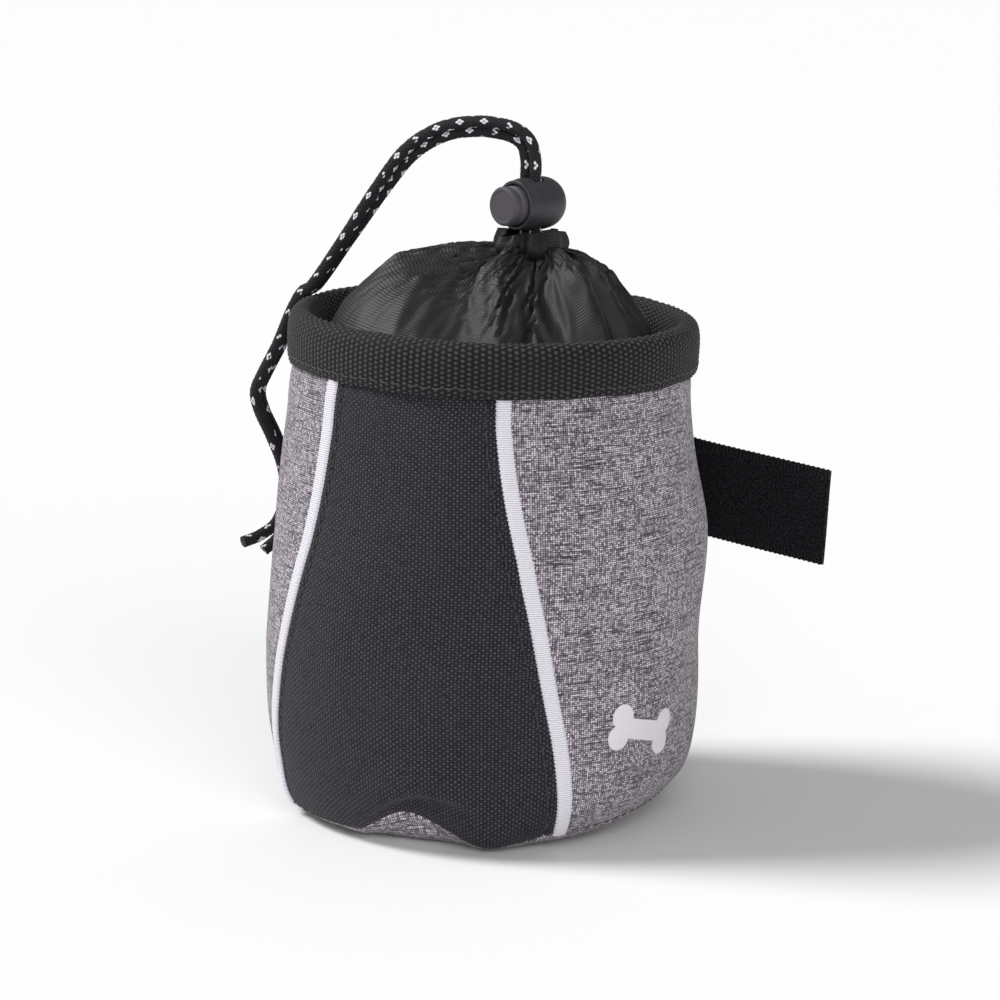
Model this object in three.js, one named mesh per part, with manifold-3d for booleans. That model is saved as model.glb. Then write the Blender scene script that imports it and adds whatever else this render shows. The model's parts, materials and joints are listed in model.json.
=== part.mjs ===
// A drawstring treat pouch with a cord lock and a hook-and-loop strap.
// Millimetres, +Z up. The origin is the centre of the base's underside, and the front faces -Y.

import * as THREE from 'three'
import { mergeVertices } from 'three/addons/utils/BufferGeometryUtils.js'
import Module from 'manifold-3d'

const wasm = await Module()
wasm.setup()

// ---------------------------------------------------------------- driving dimensions

const rimTop = 130
const rimRadius = 52.3
const bindingDepth = 13
const clothGap = 0.35
const roundSteps = 36

const shellThickness = 0.9
const foamGap = 0.5
const foamThickness = 1.1
const liningThickness = 0.7
const bindingThickness = 1.0
const stiffenerThickness = 1.2
const trimWidth = 4
const trimProud = 0.3

const frontHalfAngleTop = 26.6
const frontHalfAngleBottom = 54

const cordRadius = 1.5
const cordSpacing = 3.4
const neckCentre = new THREE.Vector3(8.7, 3.4, 0)
const hemBottom = 145.4
const hemTop = 150.2
const lockHeight = 157.7
const lockYaw = THREE.MathUtils.degToRad(-22)
const buttonTravel = 2.6

const strapWidth = 25.4
const strapThickness = 1.4
const strapHeight = 80
const strapJointGap = 2.2

// ---------------------------------------------------------------- materials

const material = (color, roughness) => new THREE.MeshStandardMaterial({ color, roughness, metalness: 0 })
const blackOxford = () => material(0x363339, 0.85)
const greyHeather = () => material(0x8c828b, 0.9)
const whiteRibbon = () => material(0xedebf2, 0.8)
const blackWebbing = () => material(0x2c2a2e, 0.8)
const blackNylon = () => material(0x37343c, 0.5)
const blackCord = () => material(0x1d1c20, 0.75)
const lockPlastic = () => material(0x47444a, 0.5)
const springSteel = () => new THREE.MeshStandardMaterial({ color: 0xb9bbc0, roughness: 0.35, metalness: 1 })
const greyFoam = () => material(0x9a9a9e, 0.95)
const blackLining = () => material(0x2a292c, 0.8)
const boardPlastic = () => material(0xd8d8d4, 0.6)
const loopTape = () => material(0x1b1a1d, 0.95)
const hookTape = () => material(0x202023, 0.7)

// ---------------------------------------------------------------- the pouch wall

// Outer face of the wall, from the base seam to its top under the binding, as (radius, height).
const wallLine = new THREE.SplineCurve([
  new THREE.Vector2(45, 3.6),
  new THREE.Vector2(51.5, 9),
  new THREE.Vector2(55, 20),
  new THREE.Vector2(56.2, 42),
  new THREE.Vector2(56, 68),
  new THREE.Vector2(53.4, 96),
  new THREE.Vector2(51.2, 112),
  new THREE.Vector2(50.6, 127),
])

/** A point of a (radius, height) line, moved inward by depth square to the line. */
function lineAt(line, share, depth) {
  const point = line.getPointAt(share)
  const along = line.getTangentAt(share)
  return new THREE.Vector2(point.x - along.y * depth, point.y + along.x * depth)
}

/** The share of a rising (radius, height) line at which it reaches a height. */
function shareAtHeight(line, height) {
  let low = 0
  let high = 1
  for (let pass = 0; pass < 30; pass++) {
    const middle = (low + high) / 2
    if (line.getPointAt(middle).y < height) low = middle
    else high = middle
  }
  return low
}

// Where the wall's layers have their rows of points, as shares of the wall line. Every layer uses
// the same rows, so that they stay parallel round the curve above the base.
const wallRows = [0, 0.05, 0.1, 0.16, 0.23, 0.33, 0.45, 0.58, 0.7, 0.8, 0.9, 1]

/** The wall's rows up to a share, with a last row at that share. */
const rowsUpTo = (top) => [...wallRows.filter((row) => row < top - 0.02), top]

/** A point round the pouch: angle 0 is the front (-Y) and 90 degrees is +X. */
function round(angle, radius, height, centre = new THREE.Vector3()) {
  return new THREE.Vector3(
    centre.x + radius * Math.sin(angle),
    centre.y - radius * Math.cos(angle),
    height,
  )
}

/** Half the angle that the front panel covers at a height. It flares towards the base. */
function frontHalfAngle(height) {
  const rise = THREE.MathUtils.smoothstep(height, 0, rimTop - bindingDepth)
  return THREE.MathUtils.degToRad(THREE.MathUtils.lerp(frontHalfAngleBottom, frontHalfAngleTop, rise))
}

// ---------------------------------------------------------------- solid builders

/**
 * A closed skin between two faces. face(side, across, up) gives a point, with side 0 the outer
 * face and 1 the inner one, across from 0 to 1 towards +X at the front, and up from rows.
 */
function skin(face, acrossSteps, rows, closedRound = false) {
  const columns = closedRound ? acrossSteps : acrossSteps + 1
  const upSteps = rows.length - 1
  const positions = []
  for (const side of [0, 1]) {
    for (let j = 0; j <= upSteps; j++) {
      for (let i = 0; i < columns; i++) {
        positions.push(...face(side, i / acrossSteps, rows[j]).toArray())
      }
    }
  }
  const at = (side, i, j) => (side * (upSteps + 1) + j) * columns + (i % columns)
  const indices = []
  const quad = (a, b, c, d) => indices.push(a, b, c, a, c, d)
  for (let i = 0; i < acrossSteps; i++) {
    for (let j = 0; j < upSteps; j++) {
      quad(at(0, i, j), at(0, i + 1, j), at(0, i + 1, j + 1), at(0, i, j + 1))
      quad(at(1, i + 1, j), at(1, i, j), at(1, i, j + 1), at(1, i + 1, j + 1))
    }
    quad(at(0, i + 1, 0), at(0, i, 0), at(1, i, 0), at(1, i + 1, 0))
    quad(at(0, i, upSteps), at(0, i + 1, upSteps), at(1, i + 1, upSteps), at(1, i, upSteps))
  }
  if (!closedRound) {
    const last = acrossSteps
    for (let j = 0; j < upSteps; j++) {
      quad(at(0, 0, j), at(0, 0, j + 1), at(1, 0, j + 1), at(1, 0, j))
      quad(at(0, last, j + 1), at(0, last, j), at(1, last, j), at(1, last, j + 1))
    }
  }
  const geometry = new THREE.BufferGeometry()
  geometry.setAttribute('position', new THREE.Float32BufferAttribute(positions, 3))
  geometry.setIndex(indices)
  geometry.computeVertexNormals()
  return geometry
}

/** A full ring of the wall's stack: from depth to depth + thickness inside the wall's outer face. */
function wallRing(depth, thickness, top) {
  return skin((side, across, up) => {
    const point = lineAt(wallLine, up, depth + side * thickness)
    return round(across * 2 * Math.PI, point.x, point.y)
  }, roundSteps, rowsUpTo(top), true)
}

/** A panel of the outer shell between two angles, each of which may change with height. */
function shellPanel(fromAngle, toAngle, acrossSteps) {
  return skin((side, across, up) => {
    const outer = wallLine.getPointAt(up)
    const point = lineAt(wallLine, up, side * shellThickness)
    const angle = THREE.MathUtils.lerp(fromAngle(outer), toAngle(outer), across)
    return round(angle, point.x, point.y)
  }, acrossSteps, wallRows)
}

/** An outline of [radius, height] pairs turned about +Z. */
function turned(outline, steps = roundSteps) {
  const points = outline.map(([radius, height]) => new THREE.Vector2(radius, height))
  return new THREE.LatheGeometry(points, steps).rotateX(Math.PI / 2)
}

/** A closed [radius, height] outline of a rectangle, for a plain ring. */
function ringOutline(inner, outer, bottom, top) {
  return [[inner, bottom], [outer, bottom], [outer, top], [inner, top], [inner, bottom]]
}

/** A round bar along a curve. */
function bar(curve, radius, steps, sides = 8) {
  const circle = new THREE.Shape().absarc(0, 0, radius, 0, 2 * Math.PI)
  return new THREE.ExtrudeGeometry(circle, { steps, curveSegments: sides / 2, extrudePath: curve })
}

/** The geometry as a manifold solid. */
function solid(geometry) {
  const bare = geometry.clone()
  bare.deleteAttribute('normal')
  bare.deleteAttribute('uv')
  const merged = mergeVertices(bare, 1e-4)
  return new wasm.Manifold(new wasm.Mesh({
    numProp: 3,
    vertProperties: new Float32Array(merged.attributes.position.array),
    triVerts: new Uint32Array(merged.index.array),
  }))
}

/** The first geometry with the second one cut away. */
function cut(geometry, cutter) {
  const mesh = solid(geometry).subtract(solid(cutter)).getMesh()
  const result = new THREE.BufferGeometry()
  result.setAttribute('position', new THREE.Float32BufferAttribute(mesh.vertProperties, 3))
  result.setIndex([...mesh.triVerts])
  result.computeVertexNormals()
  return result
}

/** A named mesh in a parent group. */
function add(parent, name, geometry, finish) {
  const mesh = new THREE.Mesh(geometry, finish)
  mesh.name = name
  parent.add(mesh)
  return mesh
}

// ---------------------------------------------------------------- shell, lining and rim

function addShell(pouch) {
  const seam = (point) => (trimWidth / 2 + clothGap) / point.x
  const frontEdge = (point) => frontHalfAngle(point.y) - seam(point)
  const sideEdge = (point) => frontHalfAngle(point.y) + seam(point)
  add(pouch, 'front_panel', shellPanel((p) => -frontEdge(p), frontEdge, 14), blackOxford())
  const sideGeometry = shellPanel(sideEdge, (p) => 2 * Math.PI - sideEdge(p), 34)
  add(pouch, 'side_back_panel', sideGeometry, greyHeather())

  const trimTop = shareAtHeight(wallLine, rimTop - bindingDepth - clothGap)
  for (const [name, side] of [['trim_left', -1], ['trim_right', 1]]) {
    const geometry = skin((face, across, up) => {
      const outer = wallLine.getPointAt(up)
      const point = lineAt(wallLine, up, face * shellThickness - trimProud)
      const angle = side * frontHalfAngle(outer.y) + (across - 0.5) * trimWidth / outer.x
      return round(angle, point.x, point.y)
    }, 1, rowsUpTo(trimTop))
    add(pouch, name, geometry, whiteRibbon())
  }
}

function addBase(pouch) {
  const dish = [[0, 0], [43, 0], [44.6, 0.9], [45.2, 3], [44.3, 3], [43.8, 1.6], [42.6, 0.9], [0, 0.9]]
  add(pouch, 'base_panel', turned(dish), greyHeather())
  const boardRadius = 41.5
  const boardBottom = 1.2
  const boardTop = 2.7
  const board = [[0, boardBottom], [boardRadius, boardBottom], [boardRadius, boardTop], [0, boardTop]]
  add(pouch, 'base_board', turned(board), boardPlastic())
  const liningBottom = boardTop + clothGap
  const liningTop = liningBottom + liningThickness
  const lining = [[0, liningBottom], [42, liningBottom], [42, liningTop], [0, liningTop]]
  add(pouch, 'lining_base', turned(lining), blackLining())
}

function addWallLayers(pouch) {
  const foamDepth = shellThickness + foamGap
  const liningDepth = foamDepth + foamThickness + clothGap
  const foamTop = shareAtHeight(wallLine, rimTop - bindingDepth - 3)
  add(pouch, 'foam_interlining', wallRing(foamDepth, foamThickness, foamTop), greyFoam())
  add(pouch, 'lining_wall', wallRing(liningDepth, liningThickness, 1), blackLining())
}

function addRim(pouch) {
  const bottom = rimTop - bindingDepth
  const outer = rimRadius
  const inner = 45.9
  const fold = 1.2
  const binding = [
    [outer, bottom], [outer, rimTop - fold], [outer - fold, rimTop], [inner + fold, rimTop],
    [inner, rimTop - fold], [inner, bottom], [inner + bindingThickness, bottom],
    [inner + bindingThickness, rimTop - bindingThickness - clothGap],
    [outer - bindingThickness, rimTop - bindingThickness - clothGap],
    [outer - bindingThickness, bottom], [outer, bottom],
  ]
  add(pouch, 'rim_binding', turned(binding), blackWebbing())
  const bandOuter = 49.35
  const band = ringOutline(bandOuter - stiffenerThickness, bandOuter, bottom - 1.5, rimTop - 4)
  add(pouch, 'rim_stiffener', turned(band), boardPlastic())
}

// ---------------------------------------------------------------- collar, hem and drawcord

function addCollar(pouch) {
  const collarThickness = 0.7
  const rootRadius = 45
  const neckRadius = 7.9
  const line = new THREE.SplineCurve([
    new THREE.Vector2(rootRadius, 111.5),
    new THREE.Vector2(43.6, 119),
    new THREE.Vector2(38.3, 129),
    new THREE.Vector2(29.5, 137.3),
    new THREE.Vector2(18, 143),
    new THREE.Vector2(neckRadius, hemBottom - clothGap),
  ])
  const collarRows = [0, 0.12, 0.26, 0.4, 0.52, 0.64, 0.76, 0.88, 1]
  const geometry = skin((side, across, up) => {
    const outer = line.getPointAt(up)
    const point = lineAt(line, up, side * collarThickness)
    const gathered = (rootRadius - outer.x) / (rootRadius - neckRadius)
    const centre = neckCentre.clone().multiplyScalar(gathered)
    return round(across * 2 * Math.PI, point.x, Math.min(point.y, hemBottom - clothGap), centre)
  }, 36, collarRows, true)
  add(pouch, 'collar', geometry, blackNylon())
}

function addHem(neck) {
  const wall = 0.7
  const inner = 3.9
  const outer = 8
  const channel = [
    [inner, hemBottom], [outer, hemBottom], [outer, hemTop], [inner, hemTop],
    [inner, hemTop - wall], [outer - wall, hemTop - wall],
    [outer - wall, hemBottom + wall], [inner, hemBottom + wall], [inner, hemBottom],
  ]
  add(neck, 'collar_hem', turned(channel, 24), blackNylon())
  const ring = new THREE.TorusGeometry((inner + outer) / 2 - 0.3, cordRadius, 8, 20)
  const loop = add(neck, 'drawcord_loop', ring, blackCord())
  loop.position.z = (hemBottom + hemTop) / 2
}

// The cord arches in an upright plane from the neck to the -X side of the rim.
const archTarget = new THREE.Vector3(-52, -3.5, 0)
const archAlong = archTarget.clone().sub(neckCentre).normalize()
const archAside = new THREE.Vector3(-archAlong.y, archAlong.x, 0)
const lockAcross = new THREE.Vector3(Math.cos(lockYaw), Math.sin(lockYaw), 0)

/** A point of the arch's plane: reach from the neck, height, and distance aside of the plane. */
function archPoint(reach, height, aside = 0) {
  return new THREE.Vector3(0, 0, height)
    .addScaledVector(archAlong, reach)
    .addScaledVector(archAside, aside)
}

/**
 * One strand's curve beside a middle line of [reach, height, aside, turn] points. At turn 0 the
 * strands lie one outside the other in the arch's plane, and at 90 degrees side by side.
 */
function strandCurve(middle, side) {
  const centres = middle.map(([reach, height, aside]) => archPoint(reach, height, aside))
  const centreCurve = new THREE.CatmullRomCurve3(centres)
  const points = middle.map(([, , , turn], index) => {
    const along = centreCurve.getTangent(index / (middle.length - 1))
    const outward = new THREE.Vector3().crossVectors(along, archAside).normalize()
    const angle = THREE.MathUtils.degToRad(turn)
    return centres[index].clone()
      .addScaledVector(outward, side * Math.cos(angle) * cordSpacing / 2)
      .addScaledVector(archAside, side * Math.sin(angle) * cordSpacing / 2)
  })
  return new THREE.CatmullRomCurve3(points)
}

// The lock's slot lies across the plane at this angle, so the strands start there.
const lockTurn = THREE.MathUtils.radToDeg(Math.atan2(
  lockAcross.dot(archAside),
  -lockAcross.dot(archAlong),
))
const archLine = [
  [0, 146.5, 0, lockTurn], [0, 157, 0, lockTurn], [0, 167.5, 0, lockTurn], [2.4, 173.8, 0, 30],
  [8, 176.6, 0, 35], [16, 176.6, 0, 40], [24.5, 174, 0, 50], [32.6, 168.8, 0, 65],
  [40, 160, 0, 80], [50, 146.5, 0, 90], [58.4, 135.4, 0, 90],
]
const tailTop = [
  [60.2, 133.3, 0, 90], [64.4, 128.6, 0, 90], [67.4, 121, 0, 90], [71, 113.5, 0, 90],
  [74.8, 108, 0, 90], [75.6, 103, 0, 90], [74, 97, 0, 90], [70.4, 88, -4, 90], [69.6, 78, -6.5, 90],
]
const tailEnds = {
  drawcord_tail_a: [[71, 70.5, -4.5, 90], [74.2, 67, 0, 90], [77.6, 65.5, 3.8, 90]],
  drawcord_tail_b: [[70.4, 69.5, -5.5, 90], [72.2, 65, -3.4, 90], [75.2, 61.8, -0.5, 90]],
}

function addDrawcord(neck) {
  for (const [name, side] of [['drawcord_strand_a', 1], ['drawcord_strand_b', -1]]) {
    add(neck, name, bar(strandCurve(archLine, side), cordRadius, 30), blackCord())
  }
  for (const [name, side] of [['drawcord_tail_a', 1], ['drawcord_tail_b', -1]]) {
    const middle = [...tailTop, ...tailEnds[name]]
    add(neck, name, bar(strandCurve(middle, side), cordRadius, 24), blackCord())
  }
}

// ---------------------------------------------------------------- cord lock

// In the lock's own frame +Z points out of the button, +X is across the two strands, and the
// strands pass along Y through the origin.
const barrelRear = -8.3
const barrelFront = 5.8
const barrelRadius = 6.9
const cavityRadius = 5.3
const cavityFloor = -6.7
const plungerRadius = 5
const plungerInner = -2.85
const plungerFace = 10

/** A round-ended slot along Y that both strands fit, from one place along Z to another. */
function strandSlot(fromZ, toZ) {
  const halfLength = cordSpacing / 2 + cordRadius + clothGap
  const corner = 1.2
  const shape = new THREE.Shape()
  shape.moveTo(-halfLength + corner, fromZ)
  shape.lineTo(halfLength - corner, fromZ)
  shape.lineTo(halfLength, fromZ + corner)
  shape.lineTo(halfLength, toZ - corner)
  shape.lineTo(halfLength - corner, toZ)
  shape.lineTo(-halfLength + corner, toZ)
  shape.lineTo(-halfLength, toZ - corner)
  shape.lineTo(-halfLength, fromZ + corner)
  shape.closePath()
  const depth = 4 * barrelRadius
  const geometry = new THREE.ExtrudeGeometry(shape, { depth, bevelEnabled: false })
  return geometry.translate(0, 0, -depth / 2).rotateX(Math.PI / 2)
}

/** A coil spring's middle line along Z. */
class Coil extends THREE.Curve {
  constructor(radius, fromZ, toZ, turns) {
    super()
    Object.assign(this, { radius, fromZ, toZ, turns })
  }

  getPoint(share, target = new THREE.Vector3()) {
    const angle = share * this.turns * 2 * Math.PI
    const height = THREE.MathUtils.lerp(this.fromZ, this.toZ, share)
    return target.set(this.radius * Math.cos(angle), this.radius * Math.sin(angle), height)
  }
}

function addCordLock(lock) {
  const slack = 0.35
  const barrel = [
    [0, barrelRear], [3.6, barrelRear], [5.6, barrelRear + 1], [6.6, barrelRear + 3.2],
    [barrelRadius, -1.2], [6.7, 2.4], [6.2, barrelFront - 0.8], [5.9, barrelFront],
    [cavityRadius, barrelFront], [cavityRadius, cavityFloor], [0, cavityFloor],
  ]
  const barrelSlot = strandSlot(-cordRadius - slack, cordRadius + slack)
  add(lock, 'cord_lock_barrel', cut(turned(barrel, 28), barrelSlot), lockPlastic())

  const chamfer = 0.45
  const grooveBottom = plungerFace - 2.6
  const plunger = [
    [0, plungerInner], [plungerRadius - chamfer, plungerInner],
    [plungerRadius, plungerInner + chamfer], [plungerRadius, grooveBottom],
    [plungerRadius - chamfer, grooveBottom + 0.3], [plungerRadius - chamfer, grooveBottom + 0.8],
    [plungerRadius, grooveBottom + 1.1], [plungerRadius, plungerFace - chamfer],
    [plungerRadius - chamfer, plungerFace], [0, plungerFace],
  ]
  const plungerSlot = strandSlot(-cordRadius - slack, cordRadius + slack + buttonTravel)
  add(lock, 'cord_lock_plunger', cut(turned(plunger, 24), plungerSlot), lockPlastic())

  const wireRadius = 0.3
  const coil = new Coil(3.5, cavityFloor + wireRadius + 0.1, plungerInner - wireRadius - 0.1, 2)
  add(lock, 'cord_lock_spring', bar(coil, wireRadius, 30, 6), springSteel())
}

// ---------------------------------------------------------------- hook-and-loop strap

// Each arm leaves the back of the pouch along a tangent. In an arm's own frame the tangent
// point is the origin and +X runs along the arm; the pouch's axis is to the side given by inward.
const strapRadius = 57.2

/** A flat length of tape between two places along the arm. */
function tapeLength(from, to) {
  const geometry = new THREE.BoxGeometry(to - from, strapThickness, strapWidth)
  return geometry.translate((from + to) / 2, 0, 0)
}

/** The sewn root: it follows the pouch round for sweep radians, then runs straight. */
function tapeRoot(inward, sweep, straight) {
  const half = strapThickness / 2
  const start = -inward * Math.PI / 2
  const end = -inward * (Math.PI / 2 + sweep)
  const shape = new THREE.Shape()
  shape.moveTo(straight, -inward * half)
  shape.absarc(0, inward * strapRadius, strapRadius + half, start, end, inward > 0)
  shape.absarc(0, inward * strapRadius, strapRadius - half, end, start, inward < 0)
  shape.lineTo(straight, inward * half)
  shape.closePath()
  const settings = { depth: strapWidth, bevelEnabled: false, curveSegments: 8 }
  return new THREE.ExtrudeGeometry(shape, settings).translate(0, 0, -strapWidth / 2)
}

/** One arm: tangentAngle is measured from the back (+Y) towards +X. */
function addArm(pouch, name, tangentAngle, inward, bends, length, finish) {
  const arm = new THREE.Group()
  arm.position.set(strapRadius * Math.sin(tangentAngle), strapRadius * Math.cos(tangentAngle), strapHeight)
  arm.rotation.z = inward < 0 ? -tangentAngle : Math.PI - tangentAngle
  pouch.add(arm)
  const [firstBend, secondBend] = bends
  const half = strapJointGap / 2
  const sweep = Math.abs(tangentAngle) - clothGap / strapRadius
  add(arm, `${name}_root`, tapeRoot(inward, sweep, firstBend - half), finish())
  add(arm, `${name}_mid`, tapeLength(firstBend + half, secondBend - half), finish())
  add(arm, `${name}_end`, tapeLength(secondBend + half, length), finish())
}

function addStrap(pouch) {
  const loopAngle = THREE.MathUtils.degToRad(16)
  const hookAngle = THREE.MathUtils.degToRad(-22)
  addArm(pouch, 'loop_strap', loopAngle, -1, [14, 26], 65, loopTape)
  addArm(pouch, 'hook_strap', hookAngle, 1, [4, 17.5], 46, hookTape)
}

// ---------------------------------------------------------------- the assembly

const pouch = new THREE.Group()
addShell(pouch)
addBase(pouch)
addWallLayers(pouch)
addRim(pouch)
addCollar(pouch)
addStrap(pouch)

const neck = new THREE.Group()
neck.position.copy(neckCentre)
pouch.add(neck)
addHem(neck)
addDrawcord(neck)

const lock = new THREE.Group()
lock.position.z = lockHeight
lock.rotation.set(Math.PI / 2, 0, lockYaw, 'ZXY')
neck.add(lock)
addCordLock(lock)

export default pouch
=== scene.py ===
"""The looks of a drawstring treat pouch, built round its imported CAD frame.

Lengths here are millimetres until make_piece() turns them into metres. +Z is up and the front faces -Y.
Angles round the pouch start at the front and grow towards +X.
"""

import json
import math
from functools import partialmethod

import bmesh
import bpy
import numpy as np
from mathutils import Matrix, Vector


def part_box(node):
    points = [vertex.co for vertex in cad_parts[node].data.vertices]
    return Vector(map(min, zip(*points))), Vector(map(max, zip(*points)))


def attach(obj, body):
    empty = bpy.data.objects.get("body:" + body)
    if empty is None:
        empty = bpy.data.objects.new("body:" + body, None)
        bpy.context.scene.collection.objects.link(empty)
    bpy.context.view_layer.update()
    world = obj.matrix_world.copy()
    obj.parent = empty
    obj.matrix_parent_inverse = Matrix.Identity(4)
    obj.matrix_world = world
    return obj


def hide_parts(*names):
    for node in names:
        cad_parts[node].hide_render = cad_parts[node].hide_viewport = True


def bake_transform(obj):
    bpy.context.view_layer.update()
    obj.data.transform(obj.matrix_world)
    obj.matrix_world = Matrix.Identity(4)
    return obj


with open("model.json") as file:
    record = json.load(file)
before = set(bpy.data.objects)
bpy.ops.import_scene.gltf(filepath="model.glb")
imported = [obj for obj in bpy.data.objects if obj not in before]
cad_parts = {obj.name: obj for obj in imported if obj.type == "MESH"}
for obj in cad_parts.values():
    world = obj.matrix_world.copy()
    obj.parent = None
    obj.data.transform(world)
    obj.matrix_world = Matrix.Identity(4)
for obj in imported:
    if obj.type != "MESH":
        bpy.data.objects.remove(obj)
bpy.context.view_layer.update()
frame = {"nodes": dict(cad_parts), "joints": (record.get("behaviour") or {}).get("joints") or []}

MM = 0.001
TURN = 2 * math.pi


# ---------------------------------------------------------------- places taken from the frame

def box_mm(node):
    low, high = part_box(node)
    return np.array(low) / MM, np.array(high) / MM


def joint(name):
    return next(j for j in frame["joints"] if j["name"] == name)


def unit(vector):
    vector = np.array(vector, float)
    return vector / np.linalg.norm(vector)


RIM_BOTTOM = box_mm("rim_binding")[0][2]
RIM_TOP = box_mm("rim_binding")[1][2]
RIM_RADIUS = box_mm("rim_binding")[1][0]
WALL_RADIUS = box_mm("side_back_panel")[1][1]
HEM_LOW, HEM_HIGH = box_mm("collar_hem")
NECK = (HEM_LOW + HEM_HIGH) / 2
NECK_PLACE = np.array([NECK[0], NECK[1], 0])
LOCK_CENTRE_HEIGHT = sum(box_mm("cord_lock_barrel"))[2] / 2
TAIL_HINGE = np.array(joint("tail_swing")["pos_m"]) / MM
BUTTON_OUT = -unit(joint("button_press")["axis"])
BUTTON_TRAVEL = joint("button_press")["range_m"][1] / MM

# The binding's woven beads: how many stand side by side round the rim, and their pitch across the tape.
BEADS_ROUND = 202
BEAD_RISE = 1.19

# The camera sees the pouch from this side, and the pouch leans a little to the camera's left.
VIEW_AZIMUTH = math.radians(25)
VIEW_RIGHT = np.array([math.cos(VIEW_AZIMUTH), math.sin(VIEW_AZIMUTH), 0])
VIEW_AWAY = np.array([-math.sin(VIEW_AZIMUTH), math.cos(VIEW_AZIMUTH), 0])


# ---------------------------------------------------------------- small maths

def smooth(low, high, value):
    share = np.clip((np.asarray(value, float) - low) / (high - low), 0, 1)
    return share * share * (3 - 2 * share)


def bump(centre, half_width, value):
    """1 at the centre, falling smoothly to nearly 0 at about twice the half width."""
    return np.exp(-(((np.asarray(value, float) - centre) / half_width) ** 2))


def around(angle, centre):
    """The signed angle from a centre direction, in degrees from -180 to 180."""
    return (np.degrees(angle) - centre + 180) % 360 - 180


def wander(x, y, seed, waves=7):
    """A smooth, repeatable value that wanders between about -1 and 1 over distances of a few units."""
    random = np.random.default_rng(seed)
    total = np.zeros(np.broadcast(x, y).shape)
    for _ in range(waves):
        angle, phase = random.uniform(0, TURN, 2)
        pace = random.uniform(0.6, 1.6)
        total = total + np.sin(pace * (np.cos(angle) * x + np.sin(angle) * y) + phase)
    return total / math.sqrt(waves)


def curve_through(points, count):
    """Evenly spaced points on a Catmull-Rom curve through some points."""
    points = np.array(points, float)
    padded = np.vstack([2 * points[0] - points[1], points, 2 * points[-1] - points[-2]])
    t = np.linspace(0, 1, 24, endpoint=False)[:, None]
    dense = []
    for a, b, c, d in zip(padded, padded[1:], padded[2:], padded[3:]):
        dense.append(0.5 * (2 * b + (c - a) * t + (2 * a - 5 * b + 4 * c - d) * t**2
                            + (3 * b - a - 3 * c + d) * t**3))
    dense = np.vstack(dense + [points[-1:]])
    lengths = np.concatenate([[0], np.cumsum(np.linalg.norm(np.diff(dense, axis=0), axis=1))])
    wanted = np.linspace(0, lengths[-1], count)
    return np.stack([np.interp(wanted, lengths, dense[:, k]) for k in range(points.shape[1])], -1)


def polar(angle, radius, height):
    """Points at an angle round the pouch, a distance from the Z axis and a height."""
    return np.stack(np.broadcast_arrays(np.sin(angle) * radius, -np.cos(angle) * radius, height), -1)


def scaled_to_one(vectors):
    return vectors / np.linalg.norm(vectors, axis=-1)[..., None]


def path_lengths(path):
    return np.concatenate([[0], np.cumsum(np.linalg.norm(np.diff(path, axis=0), axis=1))])


# ---------------------------------------------------------------- mesh builders

def plain_object(name, points, faces):
    mesh = bpy.data.meshes.new(name)
    mesh.from_pydata(np.asarray(points).tolist(), [], [list(map(int, face)) for face in faces])
    thing = bpy.data.objects.new(name, mesh)
    bpy.context.scene.collection.objects.link(thing)
    return thing


def make_piece(name, points, faces, uv, material, slot, smooth_angle=40):
    """A mesh object in metres from points in mm. Doubled points along a seam are welded."""
    mesh = bpy.data.meshes.new(name)
    mesh.from_pydata((np.asarray(points) * MM).tolist(), [], [list(map(int, face)) for face in faces])
    layer = mesh.uv_layers.new(name="mm")
    corners = np.zeros(len(mesh.loops), np.int32)
    mesh.loops.foreach_get("vertex_index", corners)
    layer.data.foreach_set("uv", np.asarray(uv, np.float32)[corners].ravel())
    shape = bmesh.new()
    shape.from_mesh(mesh)
    bmesh.ops.remove_doubles(shape, verts=shape.verts, dist=0.002 * MM)
    bmesh.ops.recalc_face_normals(shape, faces=shape.faces)
    limit = math.radians(smooth_angle)
    for face in shape.faces:
        face.smooth = True
    for edge in shape.edges:
        edge.smooth = len(edge.link_faces) != 2 or edge.calc_face_angle(0) < limit
    shape.to_mesh(mesh)
    shape.free()
    mesh.materials.append(material)
    piece = bpy.data.objects.new(name, mesh)
    bpy.context.scene.collection.objects.link(piece)
    return piece


def grid_faces(first, rows, columns, turned=False):
    row, column = np.meshgrid(np.arange(rows - 1), np.arange(columns - 1), indexing="ij")
    corner = first + row * columns + column
    quads = np.stack([corner, corner + 1, corner + columns + 1, corner + columns], -1).reshape(-1, 4)
    return quads[:, ::-1] if turned else quads


def ring_faces(a, b):
    """Quads between two equal rows of point numbers."""
    return np.stack([a[:-1], a[1:], b[1:], b[:-1]], -1)


def sheet(outer, inner, closed=False):
    """Points and faces of a closed skin between two (rows, columns, 3) grids.

    closed means that the last column is a copy of the first, and then the two may differ in rows.
    """
    outer_rows, columns = outer.shape[:2]
    inner_rows = inner.shape[0]
    first_inner = outer_rows * columns
    outer_at = np.arange(first_inner).reshape(outer_rows, columns)
    inner_at = first_inner + np.arange(inner_rows * columns).reshape(inner_rows, columns)
    faces = [
        grid_faces(0, outer_rows, columns),
        grid_faces(first_inner, inner_rows, columns, turned=True),
        ring_faces(inner_at[0], outer_at[0]),
        ring_faces(outer_at[-1], inner_at[-1]),
    ]
    if not closed:
        faces.append(ring_faces(outer_at[:, 0], inner_at[:, 0]))
        faces.append(ring_faces(inner_at[:, -1], outer_at[:, -1]))
    points = np.vstack([outer.reshape(-1, 3), inner.reshape(-1, 3)])
    return points, np.vstack(faces)


def uv_grid(u, v):
    return np.stack(np.broadcast_arrays(u, v), -1)


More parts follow.
